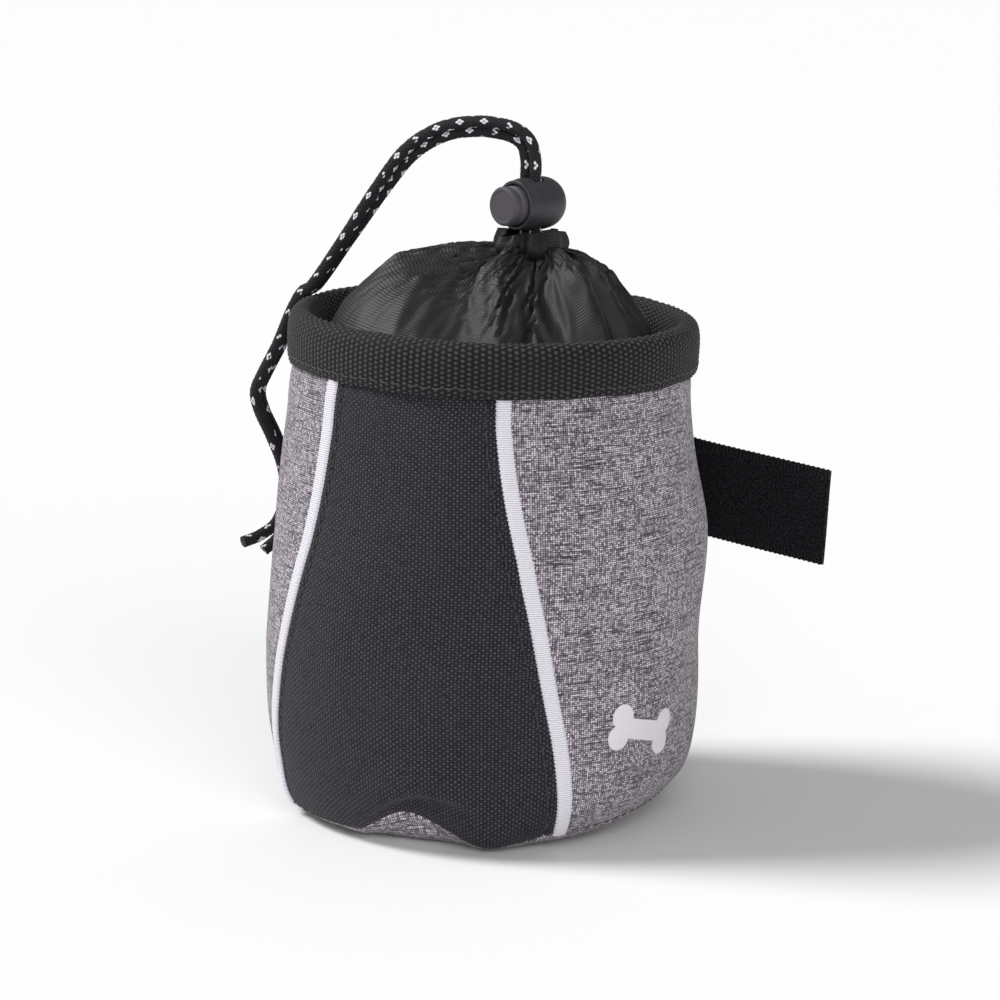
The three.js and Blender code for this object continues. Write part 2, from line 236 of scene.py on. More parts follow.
def make_sheet(name, outer, inner, uv, material, slot, smooth_angle=40, closed=False, inner_uv=None):
    points, faces = sheet(outer, inner, closed)
    inner_uv = uv if inner_uv is None else inner_uv
    both = np.vstack([uv.reshape(-1, 2), inner_uv.reshape(-1, 2)])
    return make_piece(name, points, faces, both, material, slot, smooth_angle)


def on_body(piece, body, *nodes):
    """The piece moves with a body, and is shown in place of some CAD nodes."""
    if nodes:
        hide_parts(*nodes)
    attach(piece, body)


def path_frames(path):
    """Tangents and two side directions that turn as little as possible along a path."""
    tangents = scaled_to_one(np.gradient(path, axis=0))
    helper = np.array([0.0, 0.0, 1.0]) if abs(tangents[0][2]) < 0.9 else np.array([1.0, 0.0, 0.0])
    side = unit(np.cross(helper, tangents[0]))
    sides = []
    for tangent in tangents:
        side = unit(side - tangent * (side @ tangent))
        sides.append(side)
    sides = np.array(sides)
    return tangents, sides, np.cross(tangents, sides)


def tube(path, radius, around_count):
    """A capped tube. radius(angle, length) gives the distance from the path, in mm."""
    _, side, up = path_frames(path)
    angle = np.linspace(0, TURN, around_count + 1)
    lengths = path_lengths(path)
    distance = radius(angle[None, :], lengths[:, None]) * np.ones((len(path), around_count + 1))
    ring = np.cos(angle)[None, :, None] * side[:, None, :] + np.sin(angle)[None, :, None] * up[:, None, :]
    grid = path[:, None, :] + ring * distance[:, :, None]
    columns = around_count + 1
    points = np.vstack([grid.reshape(-1, 3), path[:1], path[-1:]])
    faces = [list(face) for face in grid_faces(0, len(path), columns)]
    start, end = len(points) - 2, len(points) - 1
    last = (len(path) - 1) * columns
    for j in range(around_count):
        faces.append([start, j + 1, j])
        faces.append([end, last + j, last + j + 1])
    uv = np.stack(np.broadcast_arrays(angle[None, :] / TURN, lengths[:, None]), -1).reshape(-1, 2)
    return points, faces, np.vstack([uv, [[0.5, 0]], [[0.5, lengths[-1]]]])


def join_parts(parts):
    """One (points, faces, uv) from several."""
    points, faces, uv, count = [], [], [], 0
    for part_points, part_faces, part_uv in parts:
        points.append(part_points)
        faces.extend([[index + count for index in face] for face in part_faces])
        uv.append(part_uv)
        count += len(part_points)
    return np.vstack(points), faces, np.vstack(uv)


def stitches(path, normals, pitch, length, radius, lift=0.1):
    """A row of short threads lying on a path, each sunk into the cloth at its two ends."""
    def twist(angle, along):
        return radius * (1 + 0.12 * np.sin(2 * angle + 9 * along))

    lengths = path_lengths(path)
    parts = []
    for start in np.arange(pitch / 2, lengths[-1] - length, pitch):
        share = np.linspace(0, 1, 7)
        at = start + share * length
        middle = np.stack([np.interp(at, lengths, path[:, k]) for k in range(3)], -1)
        out = np.stack([np.interp(at, lengths, normals[:, k]) for k in range(3)], -1)
        middle = middle + out * (lift - 2.2 * radius * (2 * share - 1) ** 4)[:, None]
        parts.append(tube(middle, twist, 7))
    return join_parts(parts)


# ---------------------------------------------------------------- shader graphs

def ink(red, green, blue):
    """A linear colour from an ordinary 0 to 255 colour."""
    return [((c / 255 + 0.055) / 1.055) ** 2.4 if c > 10 else c / 255 / 12.92 for c in (red, green, blue)]


class Value:
    """A number in a material. Arithmetic on it makes Math nodes."""

    def __init__(self, shade, socket):
        self.shade = shade
        self.socket = socket

    def math(self, operation, other):
        return self.shade.math(operation, self, other)

    def __rsub__(self, other):
        return self.shade.math("SUBTRACT", other, self)

    __add__ = __radd__ = partialmethod(math, "ADD")
    __sub__ = partialmethod(math, "SUBTRACT")
    __mul__ = __rmul__ = partialmethod(math, "MULTIPLY")
    __truediv__ = partialmethod(math, "DIVIDE")
    __pow__ = partialmethod(math, "POWER")


class Shade:
    """A procedural material. u and v are the piece's own coordinates in mm."""

    def __init__(self, name):
        self.material = bpy.data.materials.new(name)
        self.material.use_nodes = True
        self.nodes = self.material.node_tree.nodes
        self.links = self.material.node_tree.links
        self.nodes.clear()
        self.surface = self.nodes.new("ShaderNodeBsdfPrincipled")
        output = self.nodes.new("ShaderNodeOutputMaterial")
        self.links.new(self.surface.outputs[0], output.inputs[0])
        uv = self.nodes.new("ShaderNodeUVMap")
        uv.uv_map = "mm"
        split = self.nodes.new("ShaderNodeSeparateXYZ")
        self.links.new(uv.outputs[0], split.inputs[0])
        self.u = Value(self, split.outputs[0])
        self.v = Value(self, split.outputs[1])

    def put(self, socket, value):
        if isinstance(value, Value):
            self.links.new(value.socket, socket)
        elif socket.type == "RGBA":
            socket.default_value = [*value, 1]
        else:
            socket.default_value = value

    def math(self, operation, *values):
        node = self.nodes.new("ShaderNodeMath")
        node.operation = operation
        for socket, value in zip(node.inputs, values):
            self.put(socket, value)
        return Value(self, node.outputs[0])

    sin = partialmethod(math, "SINE")
    floor = partialmethod(math, "FLOOR")
    fract = partialmethod(math, "FRACT")
    size = partialmethod(math, "ABSOLUTE")
    root = partialmethod(math, "SQRT")
    remainder = partialmethod(math, "MODULO")
    largest = partialmethod(math, "MAXIMUM")
    smallest = partialmethod(math, "MINIMUM")

    def step(self, value, low, high):
        node = self.nodes.new("ShaderNodeMapRange")
        node.interpolation_type = "SMOOTHSTEP"
        for socket, number in zip(node.inputs, (value, low, high, 0.0, 1.0)):
            self.put(socket, number)
        return Value(self, node.outputs[0])

    def vector(self, x, y, z=0.0):
        node = self.nodes.new("ShaderNodeCombineXYZ")
        for socket, value in zip(node.inputs, (x, y, z)):
            self.put(socket, value)
        return Value(self, node.outputs[0])

    def noise(self, vector, detail=2.0, roughness=0.5):
        node = self.nodes.new("ShaderNodeTexNoise")
        self.links.new(vector.socket, node.inputs["Vector"])
        node.inputs["Scale"].default_value = 1.0
        node.inputs["Detail"].default_value = detail
        node.inputs["Roughness"].default_value = roughness
        return Value(self, node.outputs[0])

    def place(self):
        """The piece's own coordinates in mm, for grain that needs no map."""
        node = self.nodes.new("ShaderNodeTexCoord")
        return self.scaled(Value(self, node.outputs["Object"]), 1 / MM)

    def scaled(self, vector, factor):
        node = self.nodes.new("ShaderNodeVectorMath")
        node.operation = "SCALE"
        node.inputs["Scale"].default_value = factor
        self.links.new(vector.socket, node.inputs[0])
        return Value(self, node.outputs[0])

    def mix(self, share, a, b):
        """A colour between a and b."""
        node = self.nodes.new("ShaderNodeMix")
        node.data_type = "RGBA"
        self.put(node.inputs[0], share)
        self.put(node.inputs[6], a)
        self.put(node.inputs[7], b)
        return Value(self, node.outputs[2])

    def finish(self, colour, roughness, height=None, sheen=0.0, specular=0.4, metallic=0.0):
        """Sets the surface. height is in mm."""
        for name, value in {"Base Color": colour, "Roughness": roughness, "Metallic": metallic,
                            "Specular IOR Level": specular, "Sheen Weight": sheen,
                            "Sheen Roughness": 0.45}.items():
            self.put(self.surface.inputs[name], value)
        if height is not None:
            node = self.nodes.new("ShaderNodeBump")
            node.inputs["Strength"].default_value = 1.0
            node.inputs["Distance"].default_value = MM
            self.put(node.inputs["Height"], height)
            self.links.new(node.outputs[0], self.surface.inputs["Normal"])
        return self.material


def weave(s, u, v, pitch_u, pitch_v):
    """Plain weave: its height from 0 to 1, 1 where the upright thread is on top, and both thread numbers."""
    x, y = u / pitch_u, v / pitch_v
    column, row = s.floor(x), s.floor(y)
    upright = s.remainder(s.size(column + row), 2.0)
    across = s.sin(s.fract(x) * math.pi)
    along = s.sin(s.fract(y) * math.pi)
    over = across**0.6 * (along * 0.65 + 0.35)
    under = along**0.6 * (across * 0.65 + 0.35)
    height = upright * over + (1.0 - upright) * under
    return height, upright, column, row


# ---------------------------------------------------------------- materials

def oxford_material():
    s = Shade("black_oxford")
    height, upright, column, row = weave(s, s.u, s.v, 0.92, 0.66)
    thread = s.noise(s.vector(column * 3.7, row * 2.9), 0.0)
    # Painted highlight and shade: each thread is coloured lighter along its top and darker in the gaps, and
    # the upright threads' tops are lighter still, as light dots. thread adds each thread's own tone.
    light = height * (upright * 0.5 + 0.5) * (thread * 1.2 + 0.4)
    patch = s.noise(s.vector(s.u * 0.035, s.v * 0.035, 4.0), 3.0)
    colour = s.mix(s.step(light, 0.1, 0.95), ink(7, 6, 9), ink(74, 70, 78))
    colour = s.mix(s.step(patch, 0.35, 0.75) * 0.2, colour, ink(48, 46, 52))
    return s.finish(colour, 0.66 + 0.2 * thread, height * 0.2, sheen=0.05, specular=0.22)


def bone_mask(s, centre_u, centre_v, tilt, size):
    """1 inside a plain bone shape printed on the cloth."""
    x, y = s.u - centre_u, s.v - centre_v
    along = (x * math.cos(tilt) + y * math.sin(tilt)) / size
    aside = (y * math.cos(tilt) - x * math.sin(tilt)) / size
    reach = s.largest(s.size(along) - 0.62, 0.0)
    shaft = s.root(reach * reach + aside * aside) - 0.24
    knob_x = s.size(along) - 0.76
    knob_y = s.size(aside) - 0.24
    knob = s.root(knob_x * knob_x + knob_y * knob_y) - 0.3
    distance = s.smallest(shaft, knob)
    return 1.0 - s.step(distance, -0.015, 0.015)


def heather_material(name, print_place=None):
    s = Shade(name)
    height, upright, column, row = weave(s, s.u, s.v, 0.62, 0.52)
    weft = s.noise(s.vector(s.u * 0.11, s.v * 1.7, 1.0), 3.0, 0.6)
    warp = s.noise(s.vector(s.u * 1.6, s.v * 0.1, 5.0), 3.0, 0.6)
    fine = s.noise(s.vector(s.u * 0.5, s.v * 2.4, 7.0), 2.0)
    fleck = s.noise(s.vector(column * 1.9, row * 1.9, 9.0), 1.0)
    cloud = s.noise(s.vector(s.u * 0.05, s.v * 0.09, 11.0), 2.0)
    streaks = s.step(weft + 0.25 * (cloud - 0.5), 0.5, 0.68) * 0.9
    streaks = s.largest(streaks, s.step(warp, 0.52, 0.7) * 0.75)
    dark = s.smallest(streaks + s.step(fine, 0.48, 0.7) * 0.45, 1.0)
    thread = s.mix(s.step(fleck, 0.36, 0.62), ink(132, 122, 131), ink(226, 216, 225))
    thread = s.mix(dark, thread, ink(62, 62, 76))
    # Painted shade: the low gaps between the threads are coloured dark.
    gap = s.step(height + 0.3 * (fleck - 0.5), 0.15, 0.8)
    colour = s.mix(gap, ink(44, 39, 47), thread)
    roughness = 0.86
    if print_place:
        mask = bone_mask(s, *print_place)
        colour = s.mix(mask * (0.9 + 0.1 * gap), colour, ink(226, 222, 229))
        roughness = 0.86 - mask * 0.3
        height = height * (1.0 - mask * 0.6) + mask * 0.5
    return s.finish(colour, roughness, height * 0.13, sheen=0.2, specular=0.25)


def ribbon_material():
    s = Shade("white_ribbon")
    ribs = s.sin(s.v * (TURN / 0.55))
    lines = s.sin(s.u * (TURN / 0.5))
    grime = s.noise(s.vector(s.u * 0.25, s.v * 0.06), 3.0)
    shade = s.step(ribs * 0.5 + 0.5, 0.0, 0.7)
    colour = s.mix(shade, ink(196, 193, 205), ink(236, 234, 241))
    colour = s.mix(s.step(grime, 0.55, 0.8) * 0.15, colour, ink(205, 200, 208))
    return s.finish(colour, 0.75, ribs * 0.05 + lines * 0.02, sheen=0.15, specular=0.3)


def webbing_material():
    s = Shade("black_webbing")
    column = s.u / (TURN * RIM_RADIUS / BEADS_ROUND)
    across = s.sin(column * math.pi)
    swell = s.math("COSINE", (s.v / BEAD_RISE + 0.5 * s.floor(column)) * TURN) * 0.5 + 0.5
    bead = across * across * swell
    fibres = s.noise(s.vector(s.u * 5.0, s.v * 3.0), 2.0)
    wear_and_sheen = s.noise(s.vector(s.u * 0.3, s.v * 0.3), 3.0)
    # Painted highlight and shade: the beads' tops are coloured lighter and the hollows between them darker.
    # The patchy noise above makes that painted highlight stronger in places, partly as wear.
    light = s.step(bead * (0.5 + fibres) * (0.6 + 0.8 * wear_and_sheen), 0.1, 0.8)
    colour = s.mix(light, ink(9, 9, 11), ink(66, 63, 69))
    return s.finish(colour, 0.68, fibres * 0.06 + bead * 0.2, sheen=0.08, specular=0.25)


def nylon_material():
    s = Shade("collar_nylon")
    drift = s.noise(s.vector(s.u * 0.05, s.v * 0.05), 2.0) * 1.5
    ribs = s.sin((s.v + drift * 0.5) * (TURN / 0.72))
    threads = s.sin(s.u * (TURN / 0.42))
    grain = s.noise(s.vector(s.u * 1.3, s.v * 3.1), 2.0)
    # Painted sheen: the ribs' crests are coloured lighter and their hollows darker, following the same ribs
    # as the bump.
    light = s.step(ribs + threads * 0.25, -1.5, 1.5)
    colour = s.mix(light * (grain * 0.5 + 0.6), ink(8, 7, 10), ink(34, 31, 37))
    return s.finish(colour, 0.42 + 0.12 * grain, ribs * 0.022 + threads * 0.012, sheen=0.03, specular=0.4)


# The braid's diamonds: how many stand round the cord, and each one's length along it.
CORD_CELLS = 10
CORD_CELL_LENGTH = 1.3


def cord_material():
    s = Shade("drawcord")
    turns = s.u * CORD_CELLS
    rise = s.v / CORD_CELL_LENGTH
    a, b = turns + rise, turns - rise
    across = s.size(s.sin(a * math.pi))
    along = s.size(s.sin(b * math.pi))
    plait = (across * along) ** 0.5
    in_pair = [s.math("LESS_THAN", s.remainder(s.size(s.floor(c)), CORD_CELLS / 2), 2.0)
               for c in (a, b)]
    cluster = s.noise(s.vector(s.floor(a / 5.0) * 3.3, s.floor(b / 5.0) * 2.7, 2.0), 0.0)
    diamond = s.noise(s.vector(s.floor(a) * 4.1, s.floor(b) * 3.7, 6.0), 0.0)
    shown = s.math("GREATER_THAN", cluster, 0.42) * s.math("GREATER_THAN", diamond, 0.33)
    white = in_pair[0] * in_pair[1] * shown * s.step(plait, 0.25, 0.5)
    fibres = s.noise(s.vector(a * 2.0, b * 9.0), 2.0)
    # Painted highlight and shade: each braid diamond is coloured lighter on its top and darker in the
    # grooves, following the same plait as the bump.
    colour = s.mix(plait * (0.5 + 0.5 * fibres), ink(7, 7, 9), ink(44, 42, 47))
    colour = s.mix(white, colour, ink(226, 223, 230))
    return s.finish(colour, 0.7, plait * 0.12 + fibres * 0.03, sheen=0.05, specular=0.25)


def plastic_material(name, colour_dark, colour_light, roughness, grain=0.02):
    s = Shade(name)
    place = s.place()
    texture = s.noise(s.scaled(place, 4.0), 3.0, 0.6)
    smudge = s.noise(s.scaled(place, 0.35), 2.0)
    colour = s.mix(s.step(texture, 0.3, 0.7) * 0.6 + smudge * 0.4, colour_dark, colour_light)
    return s.finish(colour, roughness + 0.16 * smudge, texture * grain, specular=0.42)


def steel_material():
    s = Shade("spring_steel")
    place = s.place()
    drawn = s.noise(s.scaled(place, 6.0), 2.0)
    colour = s.mix(drawn, ink(150, 152, 158), ink(205, 206, 210))
    return s.finish(colour, 0.25 + 0.2 * drawn, drawn * 0.01, metallic=1.0)


def foam_material():
    s = Shade("grey_foam")
    place = s.place()
    cells = s.noise(s.scaled(place, 2.5), 4.0, 0.7)
    colour = s.mix(s.step(cells, 0.35, 0.65), ink(104, 104, 108), ink(158, 158, 162))
    return s.finish(colour, 0.95, cells * 0.2)


def lining_material():
    s = Shade("black_lining")
    height, upright, column, row = weave(s, s.u, s.v, 0.45, 0.4)
    thread = s.noise(s.vector(column * 2.3, row * 2.7), 1.0)
    # Painted shade: the weave's low gaps are coloured darker than the threads' tops.
    colour = s.mix(height * (0.6 + 0.4 * thread), ink(20, 20, 23), ink(58, 57, 62))
    return s.finish(colour, 0.55, height * 0.05, sheen=0.1)


def pile_material(name, light):
    s = Shade(name)
    loops = s.step(s.noise(s.vector(s.u * 1.7, s.v * 1.7), 3.0, 0.65), 0.38, 0.7)
    patch = s.noise(s.vector(s.u * 0.3, s.v * 0.3), 2.0)
    ribs = s.sin(s.u * (TURN / 1.1)) * s.step(s.size(s.v), 10.4, 10.9)
    # The selvedge ribs are painted lighter on their crests and darker between them: painted highlight and
    # shade.
    colour = s.mix(loops * (0.5 + 0.5 * patch) + ribs * 0.25, ink(5, 5, 7), light)
    return s.finish(colour, 0.92, loops * 0.35 + ribs * 0.1, sheen=0.03, specular=0.12)


def thread_material(name, dark, light):
    s = Shade(name)
    twist = s.sin((s.u * 6.0 + s.v * 2.2) * TURN)
    # Painted highlight: the twist's crests are coloured lighter, as glints on the thread.
    colour = s.mix(s.step(twist, -0.6, 0.8), dark, light)
    return s.finish(colour, 0.55, twist * 0.03, sheen=0.2)


# ---------------------------------------------------------------- the wall's surface

# The outline rises from the floor contact under the base, round the bottom corner and up the wall.
OUTLINE = curve_through([
    (0.70 * WALL_RADIUS, 0.3), (0.80 * WALL_RADIUS, 1.0), (0.862 * WALL_RADIUS, 3.2),
    (0.915 * WALL_RADIUS, 7.4), (0.958 * WALL_RADIUS, 14.5), (0.99 * WALL_RADIUS, 27),
    (WALL_RADIUS, 46), (0.992 * WALL_RADIUS, 70), (0.952 * WALL_RADIUS, 95),
    (0.917 * WALL_RADIUS, 112), (0.905 * WALL_RADIUS, 127),
], 400)
OUTLINE_LENGTHS = path_lengths(OUTLINE)
WALL_LENGTH = OUTLINE_LENGTHS[-1]
SHELL = 0.9


def length_at_height(height):
    return np.interp(height, OUTLINE[:, 1], OUTLINE_LENGTHS)


def seam_length(angle):
    """Where the wall's panels meet the base, as a length up the outline."""
    low_lobe = 1.3 * bump(0, 9, around(angle, 25))
    notch = 6.4 * bump(0, 10.5, around(angle, 0.5))
    side = 1.4 * smooth(36, 46, np.abs(around(angle, 0)))
    return length_at_height(2.7) + notch + side - low_lobe


def lean(height):
    """How far the pouch's middle is shifted to the camera's left."""
    return np.interp(height, [0, 45, 75, 109, 130], [2.7, 2.5, 1.1, 1.2, 0])


def bulge(angle, length):
    """How far the soft wall stands out from its plain round shape."""
    height = np.interp(length, OUTLINE_LENGTHS, OUTLINE[:, 1])
    soft = 0.6 * wander(np.sin(angle) * 2.2, np.cos(angle) * 2.2 + height / 26, 3)
    soft = (soft + 0.3 * wander(np.sin(angle) * 5, np.cos(angle) * 5 + height / 9, 4)) * smooth(4, 30, height)
    soft = soft * (1 - smooth(104, 117, height))
    crease_height = 15.2 - around(angle, 9.5) ** 2 / 44.3
    tucked = bump(0, 15, around(angle, 4)) * (1 - smooth(-2.2, 1.4, height - crease_height))
    lip = 1.1 * bump(0, 15, around(angle, 8)) * bump(4.5, 5, height - crease_height)
    left_corner = 1.8 * bump(0, 26, around(angle, -60)) * bump(5, 7, height)
    right_corner = -3.0 * bump(0, 34, around(angle, 95)) * bump(3.5, 7, height)
    lobe = 2.0 * bump(0, 8.5, around(angle, 26)) * bump(4, 6, height)
    pull = 1.2 * bump(0, 22, around(angle, 112)) * bump(76, 16, height)
    pinch = -0.5 * smooth(112, 118, height)
    stand = soft - 4.2 * tucked * smooth(0, 8, length)
    return stand + lip + left_corner + right_corner + lobe + pull + pinch


def wall_point(angle, length, depth=0.0):
    """A point of the wall at an angle, a length up the outline and a depth under its outer face."""
    angle, length, depth = np.broadcast_arrays(angle, length, depth)
    radius = np.interp(length, OUTLINE_LENGTHS, OUTLINE[:, 0])
    height = np.interp(length, OUTLINE_LENGTHS, OUTLINE[:, 1])
    rise = np.gradient(OUTLINE, OUTLINE_LENGTHS, axis=0)
    out_radius = np.interp(length, OUTLINE_LENGTHS, rise[:, 1])
    out_height = -np.interp(length, OUTLINE_LENGTHS, rise[:, 0])
    stand = bulge(angle, length) - depth
    radius = radius + out_radius * stand
    height = height + out_height * stand
    points = polar(angle, radius, 0.0) - VIEW_RIGHT * lean(height)[..., None]
    points[..., 2] = np.maximum(height, 0.25 + depth)
    return points


def wall_normal(angle, length):
    step = 0.02
    across = wall_point(angle + step, length) - wall_point(angle - step, length)
    up = wall_point(angle, length + 0.5) - wall_point(angle, length - 0.5)
    return scaled_to_one(np.cross(across, up))


def trim_angle(side, length):
    """The angle of a trim's middle line: side is -1 on the left and 1 on the right."""
    height = np.interp(length, OUTLINE_LENGTHS, OUTLINE[:, 1])
    rise = smooth(0, RIM_BOTTOM, height)
    low, high = ((-51, -25.6), (48, 28.6))[side > 0]
    return np.radians(low + (high - low) * rise)


def rim_shift(angle):
    """How far the soft rim dips or rises."""
    return -0.25 - 1.75 * np.cos(np.radians(around(angle, 95)))


TRIM_HALF = 2.05
STITCH_ASIDE = TRIM_HALF + 2.6
WALL_TOP = length_at_height(122)
# The cloth's own coordinates are angle times this radius, and the length up the outline.
MAP_RADIUS = 55.0
# The printed bone: its place in those coordinates, its tilt and its half length.
PRINT_PLACE = (math.radians(71.5) * MAP_RADIUS, float(length_at_height(29.4)), -0.25, 11)


def build_wall(materials):
    rows = np.linspace(0, 1, 130)[:, None]

    def panel(name, left, right, columns, material, slot, node, dips=()):
        across = np.linspace(0, 1, columns)[None, :]
        length = np.ones((len(rows), columns))
        for _ in range(3):
            angle = left(length) + (right(length) - left(length)) * across
            low = seam_length(angle)
            length = low + (WALL_TOP - low) * rows
        dip = np.zeros_like(length)
        for line_angle, inset in dips:
            distance = (angle - line_angle(length)) * MAP_RADIUS - inset
            dip = dip + 0.45 * bump(0, 0.5, distance)
        edge = smooth(0, 2.0, (angle - left(length)) * MAP_RADIUS)
        edge = edge * smooth(0, 2.0, (right(length) - angle) * MAP_RADIUS)
        dip = dip + 0.35 * (1 - edge) + 0.3 * (1 - smooth(0, 1.6, length - seam_length(angle)))
        outer = wall_point(angle, length, dip)
        inner = wall_point(angle, length, dip + SHELL)
        piece = make_sheet(name, outer, inner, uv_grid(angle * MAP_RADIUS, length), material, slot)
        on_body(piece, "pouch", node)

    inset = (TRIM_HALF - 0.6) / MAP_RADIUS
    panel("front_panel_cloth", lambda s: trim_angle(-1, s) + inset, lambda s: trim_angle(1, s) - inset,
          230, materials["oxford"], "front_oxford", "front_panel",
          [(lambda s: trim_angle(-1, s), STITCH_ASIDE), (lambda s: trim_angle(1, s), -STITCH_ASIDE)])
    panel("side_back_cloth", lambda s: trim_angle(1, s) + inset, lambda s: TURN + trim_angle(-1, s) - inset,
          340, materials["heather"], "grey_heather", "side_back_panel")


def build_trims(materials):
    for name, side, node in (("trim_left_ribbon", -1, "trim_left"), ("trim_right_ribbon", 1, "trim_right")):
        rows = np.linspace(0, 1, 560)[:, None]
        across = np.linspace(-1, 1, 11)[None, :]
        low = seam_length(trim_angle(side, length_at_height(4.0))) + 0.3
        length = low + (length_at_height(RIM_BOTTOM + 2) - low) * rows * np.ones_like(across)
        scallop = 0.13 * np.sin(length * TURN / 1.05) * np.sign(across) + 0.05 * wander(length / 3, 0, 8)
        half = TRIM_HALF + scallop * np.sign(across)
        angle = trim_angle(side, length) + across * half / MAP_RADIUS
        crown = 0.5 * (1 - np.abs(across) ** 6) + 0.03 * np.sin(length * TURN / 0.55)
        outer = wall_point(angle, length, -crown)
        inner = wall_point(angle, length, 0.75)
        uv = uv_grid(across * TRIM_HALF, length)
        piece = make_sheet(name, outer, inner, uv, materials["ribbon"], "white_ribbon", 55)
        on_body(piece, "pouch", node)


def build_topstitch(materials):
    parts = []
    for side in (-1, 1):
        low = seam_length(trim_angle(side, 5.0)) + 1
        length = np.linspace(low, length_at_height(RIM_BOTTOM - 0.5), 200)
        angle = trim_angle(side, length) - side * STITCH_ASIDE / MAP_RADIUS
        path = wall_point(angle, length, 0.3)
        parts.append(stitches(path, wall_normal(angle, length), 3.5, 2.9, 0.24, 0.14))
    piece = make_piece("front_topstitch", *join_parts(parts), materials["black_thread"], "front_oxford")
    on_body(piece, "pouch")
    angle = np.linspace(0, TURN, 400)
    length = seam_length(angle) + 1.4
    path = wall_point(angle, length, 0.05)
    seam = stitches(path, wall_normal(angle, length), 3.4, 2.7, 0.2, 0.08)
    piece = make_piece("base_seam_stitch", *seam, materials["black_thread"], "grey_heather")
    on_body(piece, "pouch")


def build_base(materials):
    angle = np.linspace(0, TURN, 241)[None, :]
    rows = np.linspace(0, 1, 46)[:, None]
    edge_length = (seam_length(angle) + 0.8) * rows
    tucked = 0.35 * smooth(0.85, 1, rows)
    centre = -VIEW_RIGHT * lean(0)
    middle = 0.02 + 0.98 * np.linspace(0, 1, 22)[:, None]
    ripple = wander(middle * 3 * np.sin(angle), middle * 3 * np.cos(angle), 5)
    sag = 0.9 * (1 - middle**2) * (0.6 + 0.4 * ripple)

    def face_grid(depth, lift):
        """One face of the cloth: a disc from near the middle, then its edge, which lies in the wall."""
        edge = wall_point(angle, edge_length, depth + tucked)
        flat = centre + (edge[:1] - centre) * middle[..., None]
        flat[..., 2] = lift + sag + (edge[:1, :, 2] - lift) * middle**6
        return np.vstack([flat[:-1], edge])

    outer, inner = face_grid(0.25, 0.3), face_grid(1.15, 1.2)
    points, faces = sheet(outer, inner, closed=True)
    faces = [list(face) for face in faces if not first_ring_face(face, outer.shape)]
    points = np.vstack([points, [outer[0].mean(0)], [inner[0].mean(0)]])
    first_inner = outer.shape[0] * outer.shape[1]
    for j in range(outer.shape[1] - 1):
        faces.append([len(points) - 2, j, j + 1])
        faces.append([len(points) - 1, first_inner + j + 1, first_inner + j])
    # The base's cloth is mapped well away from the wall's, so that their patterns differ.
    uv = points[:, :2] + [0, 200]
    piece = make_piece("base_cloth", points, faces, uv, materials["heather_plain"], "grey_heather")
    on_body(piece, "pouch", "base_panel")


def first_ring_face(face, shape):
    """True for the faces that join the first rows of a sheet's two sides."""
    columns = shape[1]
    first_inner = shape[0] * columns
    return all(index < columns or first_inner <= index < first_inner + columns for index in face)


def disc_piece(name, node, radius, low, high, material, slot, ripple):
    """A round plate in the bottom of the leaning pouch, with a softly rounded edge."""
    angle = np.linspace(0, TURN, 121)[None, :]
    edge = (high - low) / 2
    profile = np.array([
        (0.0, low), (0.5 * radius, low), (radius - edge, low), (radius - 0.3 * edge, low + 0.3 * edge),
        (radius, low + edge), (radius - 0.3 * edge, high - 0.3 * edge), (radius - edge, high),
        (0.5 * radius, high), (0.0, high),
    ])
    grid = polar(angle, profile[:, :1], profile[:, 1:]) - VIEW_RIGHT * lean(0)
    shape = np.hypot(grid[..., 0], grid[..., 1])
    grid[..., 2] += ripple * wander(grid[..., 0] / 9, grid[..., 1] / 9, 12) * smooth(radius, 0, shape)
    points = grid.reshape(-1, 3)
    piece = make_piece(name, points, grid_faces(0, len(profile), 121), points[:, :2], material, slot)
    drop_flat_faces(piece)
    on_body(piece, "pouch", node)


def drop_flat_faces(piece):
    """Removes faces that welding left with no area, and stray points."""
    shape = bmesh.new()
    shape.from_mesh(piece.data)
    bmesh.ops.dissolve_degenerate(shape, edges=shape.edges, dist=0.0005 * MM)
    shape.to_mesh(piece.data)
    shape.free()


def build_inner_layers(materials):
    """Foam and lining follow the wall's own surface, one inside the other."""
    angle = np.linspace(0, TURN, 181)[None, :]
    layers = [
        ("foam_sheet", "foam_interlining", 1.3, 1.1, length_at_height(113), materials["foam"], "foam"),
        ("lining_cloth", "lining_wall", 2.7, 0.6, length_at_height(126), materials["lining"], "lining"),
    ]
    for name, node, depth, thickness, top, material, slot in layers:
        low = seam_length(angle) + 2
        length = low + (top - low) * np.linspace(0, 1, 70)[:, None]
        outer = wall_point(angle, length, depth)
        inner = wall_point(angle, length, depth + thickness)
        uv = uv_grid(angle * MAP_RADIUS, length)
        piece = make_sheet(name, outer, inner, uv, material, slot, closed=True)
        on_body(piece, "pouch", node)
    for name, node, radius, lift, material, slot, ripple in (
        ("base_board_plate", "base_board", 38.5, 0.5, materials["board"], "board_plastic", 0.0),
        ("lining_base_cloth", "lining_base", 40.5, 0.6, materials["lining"], "lining", 0.12),
    ):
        low, high = box_mm(node)
        disc_piece(name, node, radius, low[2] + lift, high[2] + lift, material, slot, ripple)


# ---------------------------------------------------------------- rim binding

def rim_section(count):
    """The folded tape's middle line, from its outer lower edge over the top to its inner lower edge."""
    inner = RIM_RADIUS - 5.9
    height = RIM_TOP - RIM_BOTTOM
    return curve_through([
        (RIM_RADIUS - 0.75, 0), (RIM_RADIUS - 0.35, 3), (RIM_RADIUS - 0.3, height - 4.5),
        (RIM_RADIUS - 1.1, height - 1.4), (RIM_RADIUS - 3.1, height - 0.35),
        (inner + 1.5, height - 1.4), (inner + 0.55, height - 4.5), (inner + 0.4, 4), (inner + 0.3, 0.5),
    ], count)


